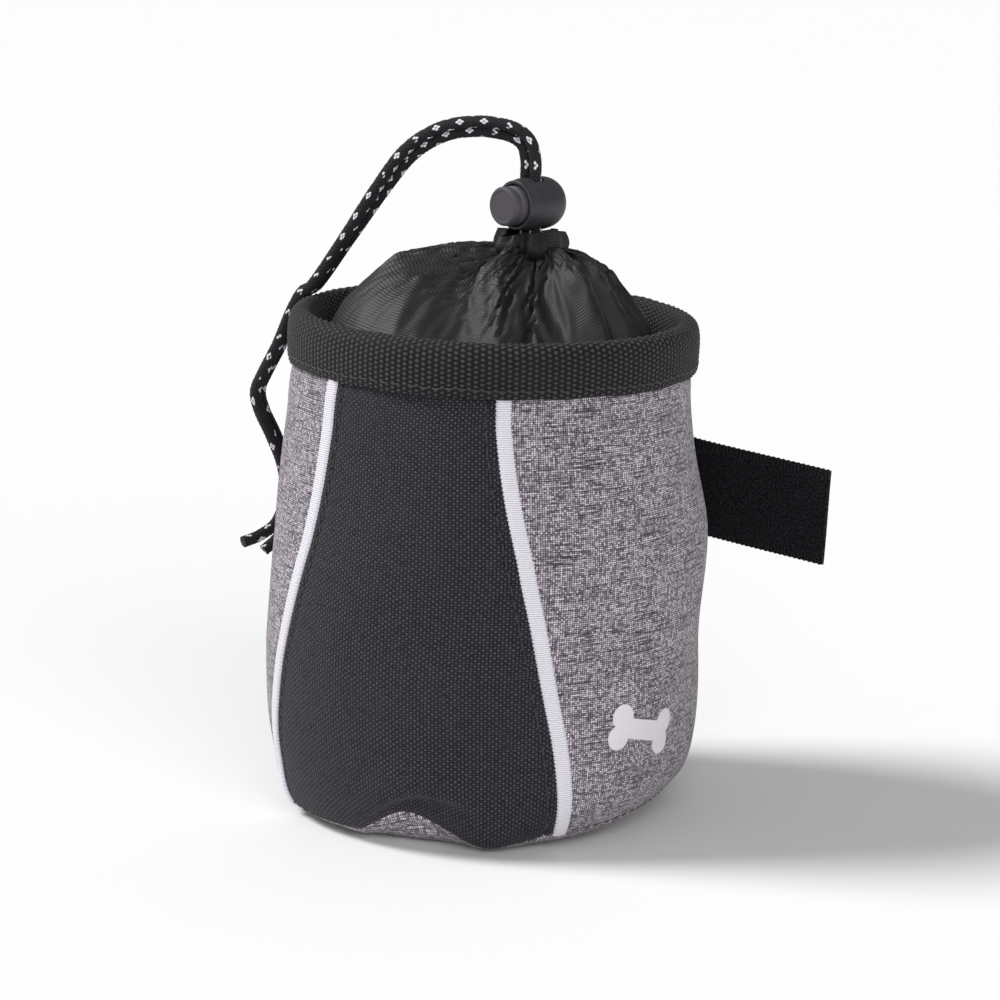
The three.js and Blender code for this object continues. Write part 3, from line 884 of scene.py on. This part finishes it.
def rim_point(angle, radius, height):
    """A point of the rim at a height over its lower edge, with the rim's tilt and lean."""
    wave = 0.22 * wander(18 * np.sin(angle), 18 * np.cos(angle), 21)
    shift = rim_shift(angle) + wave * (0.4 + 0.6 * (1 - height / 13))
    out = radius + 0.25 * wander(np.sin(angle) * 5, np.cos(angle) * 5, 22)
    points = polar(angle, out, RIM_BOTTOM + height + shift)
    return points - VIEW_RIGHT * (lean(RIM_BOTTOM) * (1 - height / 13) * 0.6)[..., None]


def build_rim(materials):
    angle = np.linspace(0, TURN, BEADS_ROUND * 4 + 1)[None, :]
    section = rim_section(105)
    lengths = path_lengths(section)[:, None]
    along = np.gradient(section, axis=0)
    out = scaled_to_one(np.stack([along[:, 1], -along[:, 0]], -1))
    column = angle / TURN * BEADS_ROUND
    swell = np.cos(TURN * (lengths / BEAD_RISE + 0.5 * np.floor(column)))
    beads = np.sin(math.pi * column) ** 2 * (0.55 + 0.45 * swell)
    pairs = 0.5 + 0.5 * np.cos(math.pi * column)
    selvedge = bump(1.2, 0.8, lengths) + bump(lengths[-1] - 1.2, 0.8, lengths)
    stand = 0.5 + 0.34 * beads + 0.06 * pairs + 0.12 * selvedge
    outer = rim_point(angle, section[:, :1] + out[:, :1] * stand, section[:, 1:] + out[:, 1:] * stand)
    # The tape's hidden face is plain, so it needs only every eighth row.
    hidden = (section - out * 0.45)[::8, None, :] * np.ones_like(angle)[..., None]
    inner = rim_point(angle, hidden[..., 0], hidden[..., 1])
    uv = uv_grid(angle * RIM_RADIUS, lengths)
    piece = make_sheet("rim_binding_tape", outer, inner, uv, materials["webbing"], "webbing", 75,
                       closed=True, inner_uv=uv[::8])
    on_body(piece, "pouch", "rim_binding")

    angle = np.linspace(0, TURN, 500)
    parts = []
    for radius, sign in ((RIM_RADIUS + 0.32, 1), (RIM_RADIUS - 5.75, -1)):
        path = rim_point(angle, radius, np.full_like(angle, 2.0))
        parts.append(stitches(path, polar(angle, sign, 0.0), 3.2, 2.5, 0.2, 0.05))
    piece = make_piece("rim_stitch", *join_parts(parts), materials["black_thread"], "webbing")
    on_body(piece, "pouch")


# ---------------------------------------------------------------- collar and hem

# Fold lines of the gathered collar, in order round the pouch. Each one has its angle in degrees at the neck,
# halfway and at the rim, then how far the cloth stands out there at the rim, halfway and at the neck.
FOLD_LINES = [
    (-168, -170, -172, -2, -3.2, -2), (-148, -148, -148, 1, 3.6, 2), (-132, -130, -128, -2, -3, -1.5),
    (-115, -113, -110, 1.5, 3.8, 2), (-96, -92, -88, -3.5, -6, -3), (-74, -68, -60, 2, 5.4, 2.8),
    (-56, -32, -12, -1, 1.6, -1), (-32, 0, 25, -6.5, -6.5, -3.5), (0, 15, 31, -6, -1, 3.5),
    (38, 38, 37, -8, -8, -3.5), (64, 66, 68, 3, 6.4, 3), (80, 76, 75, -5, -6, -2),
    (95, 88, 85, 1.5, 4, 2), (108, 100, 97, -3, -4, -1.5), (125, 122, 120, 1, 3, 2),
    (145, 145, 145, -2, -3.5, -2), (168, 168, 168, 1, 4, 2),
]
COLLAR_ROOT_RADIUS = RIM_RADIUS - 6.9
COLLAR_ROOT_HEIGHT = 113.0
COLLAR_TOP = HEM_LOW[2] + 0.6


def fold_stand(angle, reach):
    """How far the folded cloth stands out. reach is 0 at the neck and 1 at the rim."""
    degrees = np.degrees(angle[0])
    stand = np.zeros(np.broadcast(angle, reach).shape)
    lines = np.array(FOLD_LINES, float)
    for row, share in enumerate(reach[:, 0]):
        line_angles = [np.interp(share, [0, 0.5, 1], line[:3]) for line in lines]
        heights = [np.interp(share, [0, 0.1, 0.5, 0.9, 1], [0.4 * neck, neck, halfway, rim, 0.6 * rim])
                   for rim, halfway, neck in lines[:, 3:]]
        values = np.interp(degrees, line_angles, heights, period=360)
        # The sharp lines are rounded over a distance of about 0.9 mm at every height.
        rounding = math.degrees(0.9 / (7 + 38 * share))
        spread = np.exp(-(around(angle[0], degrees[0]) / rounding) ** 2)
        spread = spread / spread[:-1].sum()
        turned = np.fft.ifft(np.fft.fft(values[:-1]) * np.fft.fft(spread[:-1])).real
        stand[row] = np.append(turned, turned[0])
    return stand


def collar_point(angle, rise, depth=0.0):
    """rise is 0 at the seam inside the rim and 1 at the neck. angle is one row and rise is one column."""
    levels = [0, 0.12, 0.32, 0.56, 0.8, 1]
    across = np.interp(rise, levels, [0, 0.04, 0.19, 0.45, 0.76, 1]) * np.ones_like(angle)
    up = np.interp(rise, levels, [0, 0.2, 0.5, 0.76, 0.94, 1]) * np.ones_like(angle)
    right_side = 0.5 + 0.5 * np.cos(angle - math.radians(115))
    across = across + 0.1 * right_side * np.sin(math.pi * rise)
    neck_radius = 6.8 + 1.1 * np.cos(13 * angle + 0.6) * smooth(0.7, 1, rise)
    root = polar(angle, COLLAR_ROOT_RADIUS, COLLAR_ROOT_HEIGHT + rim_shift(angle) + 0 * across)
    neck = polar(angle, neck_radius, COLLAR_TOP) + NECK_PLACE
    points = root + (neck - root) * across[..., None]
    points[..., 2] = root[..., 2] + (neck[..., 2] - root[..., 2]) * up
    out = scaled_to_one(polar(angle, 1 - up, 0.35 + 0.65 * across))
    stand = 1.2 * fold_stand(angle, 1 - across[:, :1] * np.ones_like(rise)) * smooth(0, 0.15, rise)
    gathers = np.cos(13 * angle + 0.6 + 0.8 * np.sin(2 * angle)) + 0.5 * np.cos(21 * angle + 2.1)
    stand = stand + 0.7 * gathers * smooth(0.65, 0.95, rise)
    stand = stand + 0.3 * wander(angle * 3, rise * 5, 31) * smooth(0, 0.2, rise)
    return points + out * (stand - depth)[..., None]


# The cloth solver works best on things of about a metre, so the sleeve is simulated at ten times its size.
SIM_SCALE = 0.01
SIM_FRAMES = 14
CLOTH_SETTINGS = {
    "quality": 5, "mass": 0.06, "tension_stiffness": 25, "compression_stiffness": 25, "shear_stiffness": 8,
    "bending_stiffness": 22, "tension_damping": 12, "compression_damping": 12, "air_damping": 3,
}
CLOTH_COLLISIONS = {
    "use_self_collision": True, "self_distance_min": 0.0055, "collision_quality": 2, "distance_min": 0.004,
}


def settled_cloth(start, rest):
    """Lets a sleeve of cloth settle from one (rows, columns, 3) grid, keeping the lengths it has in another.

    Its first and last rows are held. It stops after a few frames, before the cloth is fully at rest.
    """
    rows, columns = start.shape[:2]
    row, column = np.meshgrid(np.arange(rows - 1), np.arange(columns), indexing="ij")
    after = (column + 1) % columns
    faces = np.stack([row * columns + column, row * columns + after, (row + 1) * columns + after,
                      (row + 1) * columns + column], -1).reshape(-1, 4)
    sleeve = plain_object("sleeve", start.reshape(-1, 3) * SIM_SCALE, faces)
    sleeve.shape_key_add(name="start")
    rest_key = sleeve.shape_key_add(name="rest")
    rest_key.data.foreach_set("co", (rest.reshape(-1, 3) * SIM_SCALE).astype(np.float32).ravel())
    held = sleeve.vertex_groups.new(name="held")
    held.add(list(range(columns)) + list(range((rows - 1) * columns, rows * columns)), 1.0, "REPLACE")

    guards = [guard_object("rim_guard", *sheet(*guard_walls())), guard_object("treats", *filling())]

    cloth = sleeve.modifiers.new("cloth", "CLOTH")
    for settings, values in ((cloth.settings, CLOTH_SETTINGS), (cloth.collision_settings, CLOTH_COLLISIONS)):
        for name, value in values.items():
            setattr(settings, name, value)
    cloth.settings.vertex_group_mass = "held"
    cloth.settings.rest_shape_key = rest_key
    cloth.settings.effector_weights.gravity = 0.0
    cloth.point_cache.frame_start = 1
    cloth.point_cache.frame_end = SIM_FRAMES
    for number in range(1, SIM_FRAMES + 1):
        bpy.context.scene.frame_set(number)
    depsgraph = bpy.context.evaluated_depsgraph_get()
    settled = np.zeros(rows * columns * 3, np.float32)
    sleeve.evaluated_get(depsgraph).data.vertices.foreach_get("co", settled)
    bpy.data.objects.remove(sleeve)
    for guard in guards:
        bpy.data.objects.remove(guard)
    bpy.context.scene.frame_set(1)
    return settled.reshape(rows, columns, 3).astype(float) / SIM_SCALE


def unfolded(grid):
    """A smooth round sleeve whose rows and columns are a little longer than those of a folded one."""
    around_row = np.linalg.norm(np.roll(grid, -1, 1) - grid, axis=-1).sum(1) * 1.01
    radius = around_row / TURN
    spacing = np.linalg.norm(np.diff(grid, axis=0), axis=-1).mean(1) * 1.01
    rise = np.sqrt(np.maximum(spacing**2 - np.diff(radius) ** 2, 0.01))
    height = np.concatenate([[0], np.cumsum(rise)])[:, None]
    angle = np.linspace(0, TURN, grid.shape[1], endpoint=False)[None, :]
    return polar(angle, radius[:, None], height)


def guard_object(name, points, faces):
    guard = plain_object(name, points * SIM_SCALE, faces)
    guard.modifiers.new("collision", "COLLISION")
    guard.collision.thickness_outer = 0.004
    return guard


def filling():
    """What the collar rests on: its own folded form, a little smaller."""
    angle = np.linspace(0, TURN, 181)[None, :]
    grid = collar_point(angle, np.linspace(0.06, 0.93, 40)[:, None], 1.5)
    return grid.reshape(-1, 3), grid_faces(0, 40, 181)


def guard_walls():
    """The inside of the rim, which the collar can't pass."""
    angle = np.linspace(0, TURN, 97)[None, :]
    height = np.array([[104.0], [RIM_TOP - 1.5]])
    return [polar(angle, COLLAR_ROOT_RADIUS + gap, height) for gap in (3.5, 0.8)]


def grid_normals(grid):
    """Outward normals of a closed sleeve grid whose last column isn't a copy of the first."""
    across = np.roll(grid, -1, 1) - np.roll(grid, 1, 1)
    return scaled_to_one(np.cross(across, np.gradient(grid, axis=0)))


SLEEVE_COLUMNS = 260
SLEEVE_ROWS = 54
# The sleeve's cloth is mapped as this many mm long, and the ruffle's map goes on from there.
SLEEVE_LENGTH = 54


def build_collar(materials):
    angle = np.linspace(0, TURN, SLEEVE_COLUMNS + 1)[None, :]
    rise = np.linspace(0, 1, SLEEVE_ROWS)[:, None]
    cloth = collar_point(angle, rise)[:, :-1]
    cloth = settled_cloth(cloth, unfolded(cloth))
    inner = cloth - 0.35 * grid_normals(cloth)
    outer, inner = (np.concatenate([grid, grid[:, :1]], 1) for grid in (cloth, inner))
    uv = uv_grid(angle * COLLAR_ROOT_RADIUS, rise * SLEEVE_LENGTH)
    piece = make_sheet("collar_sleeve", outer, inner, uv, materials["nylon"], "collar_nylon", 70, closed=True)
    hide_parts("collar")
    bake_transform(piece)

    rise = np.linspace(0, 1, 46)[:, None]
    lobes = 0.6 * np.cos(9 * angle + 0.7 + 1.3 * np.sin(2 * angle)) + 0.4 * np.cos(14 * angle + 1.1)
    belly = np.sin(math.pi * np.clip(rise, 0, 1))
    radius = 7.6 + 1.4 * belly + lobes * (0.6 + 1.2 * rise) + 0.4 * wander(angle * 4, rise * 4, 41)
    beside_barrel = (BUTTON_OUT[0] * np.cos(angle) + BUTTON_OUT[1] * np.sin(angle)) ** 2
    height = COLLAR_TOP - 1.6 + rise * (HEM_HIGH[2] - COLLAR_TOP + 1.6) + 0.4 * rise * np.sin(5 * angle + 1)
    height = height + 1.3 * beside_barrel * rise**2

    outer, inner = (polar(angle, radius - depth, height) + NECK_PLACE for depth in (0.0, 0.7))
    uv = uv_grid(angle * COLLAR_ROOT_RADIUS, SLEEVE_LENGTH + rise * 7)
    piece = make_sheet("collar_hem_ruffle", outer, inner, uv, materials["nylon"], "collar_nylon", closed=True)
    on_body(piece, "neck", "collar_hem")


# ---------------------------------------------------------------- drawcord

CORD_RADIUS = 1.5
CORD_SPACING = 3.4
ARCH_ALONG = unit([TAIL_HINGE[0] - NECK[0], TAIL_HINGE[1] - NECK[1], 0])
ARCH_ASIDE = np.array([-ARCH_ALONG[1], ARCH_ALONG[0], 0])
LOCK_ACROSS = unit([BUTTON_OUT[1], -BUTTON_OUT[0], 0])

# The turn of the two strands about their middle line. At 0 degrees they lie one outside the other, and at 90
# degrees side by side. In the lock they lie along its slot.
LOCK_TURN = math.degrees(math.atan2(-LOCK_ACROSS @ ARCH_ASIDE, LOCK_ACROSS @ ARCH_ALONG))
STRAND_TURNS = ([0, 24, 34, 60, 90, 120], [LOCK_TURN, LOCK_TURN, 35, 52, 82, 90])
# The middle line of the two strands, from the neck over the arch and the rim. Each point is its reach along
# the arch, its height and its distance aside.
ARCH = [
    (0, 147.5, 0), (0, 157, 0), (0, 164, 0), (0, 169, 0), (1.4, 173.4, 0), (5.8, 176, 0),
    (14.3, 176.9, 0), (23.7, 175.2, 0), (32.6, 169.8, 0), (40.2, 160.6, 0), (49.8, 147, 0), (58.5, 134.9, 0),
    (61.9, 132.3, 0), (65, 127.2, 0), (69, 118.3, 0), (73.4, 110.2, 0), (75.4, 105.4, 0), (74.6, 100.3, -0.5),
    (72, 93.5, -2.0), (70.2, 85.5, -5.0), (69.8, 77, -6.5),
]
ENDS = {
    "a": [(71.4, 70, -4.0), (74.4, 67, 0.2), (77.8, 65.6, 4.0)],
    "b": [(70.4, 69.5, -5.2), (72.3, 65, -3.2), (75.2, 61.9, -0.4)],
}


def arch_point(reach, height, aside):
    return NECK_PLACE + ARCH_ALONG * reach + ARCH_ASIDE * aside + [0, 0, height]


def strand_path(name, side):
    middle = curve_through([arch_point(*place) for place in ARCH + ENDS[name]], 760)
    tangents = scaled_to_one(np.gradient(middle, axis=0))
    outward = scaled_to_one(np.cross(tangents, ARCH_ASIDE))
    length = path_lengths(middle)
    turn = np.radians(np.interp(length, *STRAND_TURNS))
    gap = CORD_SPACING / 2 * (1 - 0.02 * smooth(60, 150, length))
    gap = gap + 0.1 * wander(length / 14, 0.0, 51) * smooth(34, 60, length)
    gap = gap + 0.7 * smooth(176, 215, length)
    shift = side * (np.cos(turn)[:, None] * outward + np.sin(turn)[:, None] * ARCH_ASIDE) * gap[:, None]
    return middle + shift


def cord_radius(angle, length):
    turns = angle / TURN * CORD_CELLS
    rise = length / CORD_CELL_LENGTH
    plait = np.sqrt(np.abs(np.sin(math.pi * (turns + rise)) * np.sin(math.pi * (turns - rise))))
    return CORD_RADIUS - 0.12 + 0.2 * plait


def build_drawcord(materials):
    for name, side in (("a", 1), ("b", -1)):
        points, faces, uv = tube(strand_path(name, side), cord_radius, 40)
        piece = make_piece(f"drawcord_{name}", points, faces, uv, materials["cord"], "drawcord", 80)
        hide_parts(f"drawcord_strand_{name}", f"drawcord_tail_{name}")
        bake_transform(piece)
    low, high = box_mm("drawcord_loop")
    radius = (high[0] - low[0]) / 2 - CORD_RADIUS
    path = polar(np.linspace(0, TURN, 121), radius, (low[2] + high[2]) / 2) + NECK_PLACE
    sides = 24
    points, faces, uv = tube(path, lambda a, s: cord_radius(a, s) - 0.15, sides)
    # The loop is closed, so the two end caps go.
    faces = faces[:-2 * sides]
    piece = make_piece("drawcord_loop_braid", points, faces, uv, materials["cord"], "drawcord", 80)
    on_body(piece, "neck", "drawcord_loop")


# ---------------------------------------------------------------- cord lock

LOCK_PLACE = NECK_PLACE + [0, 0, LOCK_CENTRE_HEIGHT]
LOCK_SIDE = unit(np.cross([0, 0, 1], BUTTON_OUT))
LOCK_UP = np.cross(BUTTON_OUT, LOCK_SIDE)
SLOT_HALF = CORD_RADIUS + 0.35
LATHE_STEPS = 96


def lock_ring(angle):
    """Unit directions across the button's axis."""
    return np.cos(angle)[:, None] * LOCK_SIDE + np.sin(angle)[:, None] * LOCK_UP


def lathe(profile):
    """A form turned about the button's axis. The profile is (radius, place along it), from axis to axis."""
    profile = np.array(profile)
    angle = np.linspace(0, TURN, LATHE_STEPS + 1)
    grid = (LOCK_PLACE + BUTTON_OUT * profile[:, 1, None, None]
            + profile[:, 0, None, None] * lock_ring(angle)[None])
    uv = uv_grid(angle[None, :] / TURN, profile[:, 1:])
    return grid.reshape(-1, 3), grid_faces(0, len(profile), LATHE_STEPS + 1), uv.reshape(-1, 2)


def rounded(profile, radius, steps=4):
    """The profile with its corners rounded, apart from the first and last points."""
    profile = [np.array(point, float) for point in profile]
    points = [profile[0]]
    for before, corner, after in zip(profile, profile[1:], profile[2:]):
        reach = min(radius, 0.45 * np.linalg.norm(before - corner), 0.45 * np.linalg.norm(after - corner))
        a = corner + unit(before - corner) * reach
        b = corner + unit(after - corner) * reach
        for t in np.linspace(0, 1, steps):
            points.append((1 - t) ** 2 * a + 2 * t * (1 - t) * corner + t**2 * b)
    return points + [profile[-1]]


def cut_slot(piece, low, high):
    """Cuts a round-cornered slot along Z for the two strands, from low to high along the button's axis."""
    half_width = CORD_SPACING / 2 + SLOT_HALF
    reach = 12
    corner = 0.9
    outline = []
    for cx, cz, first in ((half_width, high, 0), (-half_width, high, 1), (-half_width, low, 2),
                          (half_width, low, 3)):
        mx = cx - math.copysign(corner, cx)
        mz = cz - corner if cz == high else cz + corner
        for t in np.linspace(0, math.pi / 2, 6):
            angle = first * math.pi / 2 + t
            outline.append((mx + corner * math.cos(angle), mz + corner * math.sin(angle)))
    points = [LOCK_PLACE + LOCK_ACROSS * x + BUTTON_OUT * z + [0, 0, level]
              for level in (-reach, reach) for x, z in outline]
    count = len(outline)
    faces = [[j, (j + 1) % count, count + (j + 1) % count, count + j] for j in range(count)]
    faces += [list(range(count))[::-1], list(range(count, 2 * count))]
    cutter = make_piece("slot_cutter", points, faces, np.zeros((len(points), 2)), piece.data.materials[0],
                        "lock_plastic")
    modifier = piece.modifiers.new("slot", "BOOLEAN")
    modifier.operation = "DIFFERENCE"
    modifier.solver = "EXACT"
    modifier.object = cutter
    bevel = piece.modifiers.new("edge", "BEVEL")
    bevel.width = 0.22 * MM
    bevel.segments = 3
    bevel.limit_method = "ANGLE"
    bevel.angle_limit = math.radians(50)
    apply_modifiers(piece)
    bpy.data.objects.remove(cutter)


def apply_modifiers(piece):
    depsgraph = bpy.context.evaluated_depsgraph_get()
    made = bpy.data.meshes.new_from_object(piece.evaluated_get(depsgraph), depsgraph=depsgraph)
    piece.modifiers.clear()
    piece.data = made
    for polygon in made.polygons:
        polygon.use_smooth = True
    made.set_sharp_from_angle(angle=math.radians(35))


def build_lock(materials):
    rear, front, radius, cavity_radius, cavity_floor = -8.3, 5.8, 6.9, 5.3, -6.7
    barrel = rounded([
        (0, rear), (3.4, rear), (5.3, rear + 0.6), (6.45, rear + 2.6), (radius, -2.6), (radius, 0.6),
        (6.65, 3.2), (6.25, front - 1.0), (6.3, front), (cavity_radius, front), (cavity_radius, cavity_floor),
        (0, cavity_floor),
    ], 1.1)
    piece = make_piece("cord_lock_shell", *lathe(barrel), materials["lock"], "lock_plastic")
    cut_slot(piece, -SLOT_HALF, SLOT_HALF)
    on_body(piece, "lock", "cord_lock_barrel")

    face, back, stem = 10.0, -2.85, 5
    plunger = rounded([
        (0, back), (4.75, back), (stem, -2.4), (stem, face - 3.3), (4.5, face - 3.0), (4.5, face - 2.2),
        (stem, face - 1.9), (stem, face - 0.5), (4.6, face), (4.0, face), (3.8, face - 0.12),
        (0, face - 0.05),
    ], 0.3)
    piece = make_piece("cord_lock_button", *lathe(plunger), materials["button"], "lock_plastic")
    cut_slot(piece, -SLOT_HALF, SLOT_HALF + BUTTON_TRAVEL)
    on_body(piece, "button", "cord_lock_plunger")

    turns, coil_radius, wire_radius = 4, 3.5, 0.28
    low, high = -6.35, -3.2
    share = np.linspace(0, 1, 240)
    climb = np.clip((share - 0.12) / 0.76, 0, 1)
    path = LOCK_PLACE + BUTTON_OUT * (low + (high - low) * climb)[:, None]
    path = path + coil_radius * lock_ring(share * turns * TURN)
    coil = tube(path, lambda a, s: wire_radius, 12)
    piece = make_piece("cord_lock_coil", *coil, materials["steel"], "spring_steel")
    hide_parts("cord_lock_spring")
    ends = [(LOCK_PLACE + BUTTON_OUT * place) * MM for place in (low, high)]
    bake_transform(piece)


# ---------------------------------------------------------------- hook-and-loop strap

STRAP_WIDTH = box_mm("loop_strap_end")[1][2] - box_mm("loop_strap_end")[0][2]


class Arm:
    """One arm of the strap: where it leaves the pouch, its direction and its two bend lines.

    pile_sign is 1 where the pile faces away from the pouch, and -1 where it faces the pouch. droop is how far
    the tape sinks per mm of its length.
    """

    def __init__(self, name, first_joint, second_joint, pile_sign, droop, material, slot):
        self.name = name
        self.first = np.array(joint(first_joint)["pos_m"]) / MM
        self.second = np.array(joint(second_joint)["pos_m"]) / MM
        self.along = unit(self.second - self.first)
        far = np.array([v.co for v in frame["nodes"][f"{name}_end"].data.vertices]) / MM
        self.reach = ((far - self.first) @ self.along).max()
        self.gap = np.linalg.norm(self.second - self.first)
        radius_direction = np.array([self.first[0], self.first[1], 0])
        self.straight = float(radius_direction @ self.along)
        self.pile_sign = pile_sign
        self.droop = droop
        self.material = material
        self.slot = slot
        outward = radius_direction - self.along * self.straight
        self.tangent_radius = np.linalg.norm(outward)
        self.outward = outward / self.tangent_radius
        self.sweep = math.atan2(abs(outward[0]), outward[1])

    def path(self, distance):
        """Points and outward directions at distances from the first bend line. Before it, the tape wraps
        the pouch."""
        distance = np.asarray(distance, float)
        tangent = -self.straight
        straight = np.maximum(distance, tangent)
        turn = np.maximum(tangent - distance, 0) / self.tangent_radius
        turned_out = np.cos(turn)[:, None] * self.outward - np.sin(turn)[:, None] * self.along
        base = np.array([0, 0, self.first[2]]) + self.along * (straight - tangent)[:, None]
        return base + turned_out * self.tangent_radius, turned_out

    def rise(self, distance):
        """How far the tape's middle line is above its hinge's height: up near the seam, then drooping."""
        past_tangent = distance + self.straight
        lift = 1.5 * np.exp(-np.maximum(past_tangent, 0) / 16) * smooth(-25, 0, past_tangent)
        return lift - self.droop * np.maximum(past_tangent, 0)


def box_stitch(arm, first, materials):
    """The stitched rectangle that holds the tape to the pouch's back."""
    low, high = first + 2.5, -3.5
    half = STRAP_WIDTH / 2 - 3.2
    corners = [(low, -half), (high, -half), (high, half), (low, half), (low, -half)]
    sides = [np.linspace(a, b, 40, endpoint=False) for a, b in zip(corners, corners[1:])]
    places = np.vstack(sides)
    middle, out = arm.path(places[:, 0])
    face = 0.62 if arm.pile_sign > 0 else 0.48
    path = middle + out * face
    path[:, 2] += places[:, 1] + arm.rise(places[:, 0])
    thread = stitches(path, out, 2.9, 2.3, 0.2, 0.06)
    piece = make_piece(f"{arm.name}_box_stitch", *thread, materials["black_thread"], arm.slot)
    on_body(piece, "pouch")


def tape_piece(arm, name, start, end, blend_at, seed):
    """A closed length of tape: a raised field of pile or hooks between two flat selvedges."""
    rows, columns = max(8, int((end - start) / 0.27)), 53
    places = np.linspace(start, end, rows)
    middle, out = arm.path(places)
    distance = places[:, None]
    across = np.linspace(-1, 1, columns)[None, :]
    half = STRAP_WIDTH / 2
    edge = 1 - smooth(0.78, 0.84, np.abs(across))
    fuzz = np.random.default_rng(seed).normal(0, 0.1, (rows, columns))
    ribs = 0.07 * np.sin(distance * TURN / 1.1) * (1 - edge)
    bow = 0.5 * wander(distance / 17, across, 62) * smooth(-2, 12, distance)
    pile = 0.25 + edge * (0.4 + fuzz) + ribs
    woven = 0.45 + 0.05 * np.sin(distance * TURN / 1.3) * np.ones_like(across)
    front, back = (pile, woven) if arm.pile_sign > 0 else (woven, pile)
    ripple = 0.12 * np.sin(distance * TURN / 1.6) * smooth(0.9, 1, np.abs(across)) * np.sign(across)
    rise = across * half + ripple + arm.rise(distance)
    # The drooping tape's end is cut square to the tape, and a little shorter than the CAD's.
    square = across * half * 1.5 * arm.droop * smooth(-arm.straight, arm.reach, distance)
    shift = square - 0.9 * smooth(0, arm.reach, distance)
    middle = middle[:, None, :] + arm.along * shift[..., None] + rise[..., None] * np.array([0, 0, 1.0])
    out = out[:, None, :]
    outer = middle + out * (front + bow)[..., None]
    inner = middle - out * (back - bow)[..., None]
    piece = make_sheet(name, outer, inner, uv_grid(distance, across * half), arm.material, arm.slot, 60)
    blend_half = 2.0
    ends = arm.path([blend_at - blend_half, blend_at + blend_half])[0]
    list(ends * MM)
    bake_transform(piece)
    return piece


def build_strap(materials):
    loop = Arm("loop_strap", "loop_fold", "loop_wrap", -1, 0.068, materials["loop"], "loop_tape")
    hook = Arm("hook_strap", "hook_fold", "hook_wrap", 1, 0.03, materials["hook"], "hook_tape")
    for arm, bend, end in ((loop, "loop_bend", "loop_end"), (hook, "hook_bend", "hook_end")):
        middle = arm.gap / 2
        first = -(arm.straight + arm.sweep * arm.tangent_radius) + 0.4
        inner = tape_piece(arm, f"{arm.name}_inner", first, middle, 0.0, seed=61)
        outer = tape_piece(arm, f"{arm.name}_outer", middle, arm.reach, arm.gap, seed=71)
        box_stitch(arm, first, materials)
        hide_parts(f"{arm.name}_root")
        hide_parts(f"{arm.name}_mid", f"{arm.name}_end")


# ---------------------------------------------------------------- stage

def build_stage():
    half = 6.0
    corners = [(-half, -half, 0), (half, -half, 0), (half, half, 0), (-half, half, 0)]
    floor = plain_object("floor", corners, [[0, 1, 2, 3]])
    material = bpy.data.materials.new("pale_floor")
    material.use_nodes = True
    surface = material.node_tree.nodes["Principled BSDF"]
    surface.inputs["Base Color"].default_value = (0.92, 0.92, 0.92, 1)
    surface.inputs["Roughness"].default_value = 0.8
    surface.inputs["Specular IOR Level"].default_value = 0.1
    floor.data.materials.append(material)

    world = bpy.data.worlds.new("studio")
    world.use_nodes = True
    nodes, links = world.node_tree.nodes, world.node_tree.links
    seen = nodes.new("ShaderNodeLightPath")
    strength = nodes.new("ShaderNodeMapRange")
    strength.inputs["To Min"].default_value = 0.3
    strength.inputs["To Max"].default_value = 1.04
    links.new(seen.outputs["Is Camera Ray"], strength.inputs["Value"])
    links.new(strength.outputs[0], nodes["Background"].inputs["Strength"])
    nodes["Background"].inputs["Color"].default_value = (1.0, 1.0, 1.0, 1)
    bpy.context.scene.world = world

    # Two soft suns: name, azimuth from the front, elevation, angular size in degrees and power.
    for name, *angles, power in (("key", -72, 47, 20, 2.7), ("fill", 38, 22, 50, 1.4)):
        azimuth, elevation, spread = map(math.radians, angles)
        direction = Vector((math.sin(azimuth) * math.cos(elevation), -math.cos(azimuth) * math.cos(elevation),
                            math.sin(elevation)))
        data = bpy.data.lights.new(name, "SUN")
        data.angle = spread
        data.energy = power
        lamp = bpy.data.objects.new(name, data)
        lamp.rotation_mode = "QUATERNION"
        lamp.rotation_quaternion = (-direction).to_track_quat("-Z", "Y")
        bpy.context.scene.collection.objects.link(lamp)

    camera_data = bpy.data.cameras.new("camera")
    camera_data.lens = 134.9
    camera_data.sensor_width = 36
    camera_data.shift_x = 0.006
    camera = bpy.data.objects.new("camera", camera_data)
    pitch, distance, height = math.radians(11.33), 0.95, 0.271
    camera.location = tuple(-VIEW_AWAY * distance + np.array([0, 0, height]))
    camera.rotation_euler = (math.pi / 2 - pitch, 0, VIEW_AZIMUTH)
    bpy.context.scene.collection.objects.link(camera)
    bpy.context.scene.camera = camera
    bpy.context.scene.view_settings.view_transform = "Standard"


# ---------------------------------------------------------------- assembly

materials = {
    "oxford": oxford_material(),
    "heather": heather_material("grey_heather", PRINT_PLACE),
    "heather_plain": heather_material("grey_heather_base"),
    "ribbon": ribbon_material(),
    "webbing": webbing_material(),
    "nylon": nylon_material(),
    "cord": cord_material(),
    "lock": plastic_material("lock_plastic", ink(40, 38, 42), ink(60, 57, 62), 0.36),
    "button": plastic_material("button_plastic", ink(62, 59, 65), ink(84, 80, 87), 0.48),
    "steel": steel_material(),
    "foam": foam_material(),
    "lining": lining_material(),
    "board": plastic_material("board_plastic", ink(196, 196, 190), ink(222, 222, 216), 0.5),
    "loop": pile_material("loop_tape", ink(58, 55, 63)),
    "hook": pile_material("hook_tape", ink(60, 57, 65)),
    "black_thread": thread_material("black_thread", ink(16, 15, 18), ink(66, 63, 70)),
}

for build in (build_wall, build_trims, build_topstitch, build_base, build_inner_layers, build_rim,
              build_collar, build_drawcord, build_lock, build_strap):
    build(materials)
stiffener = frame["nodes"]["rim_stiffener"].data
stiffener.materials.clear()
stiffener.materials.append(materials["board"])
build_stage()
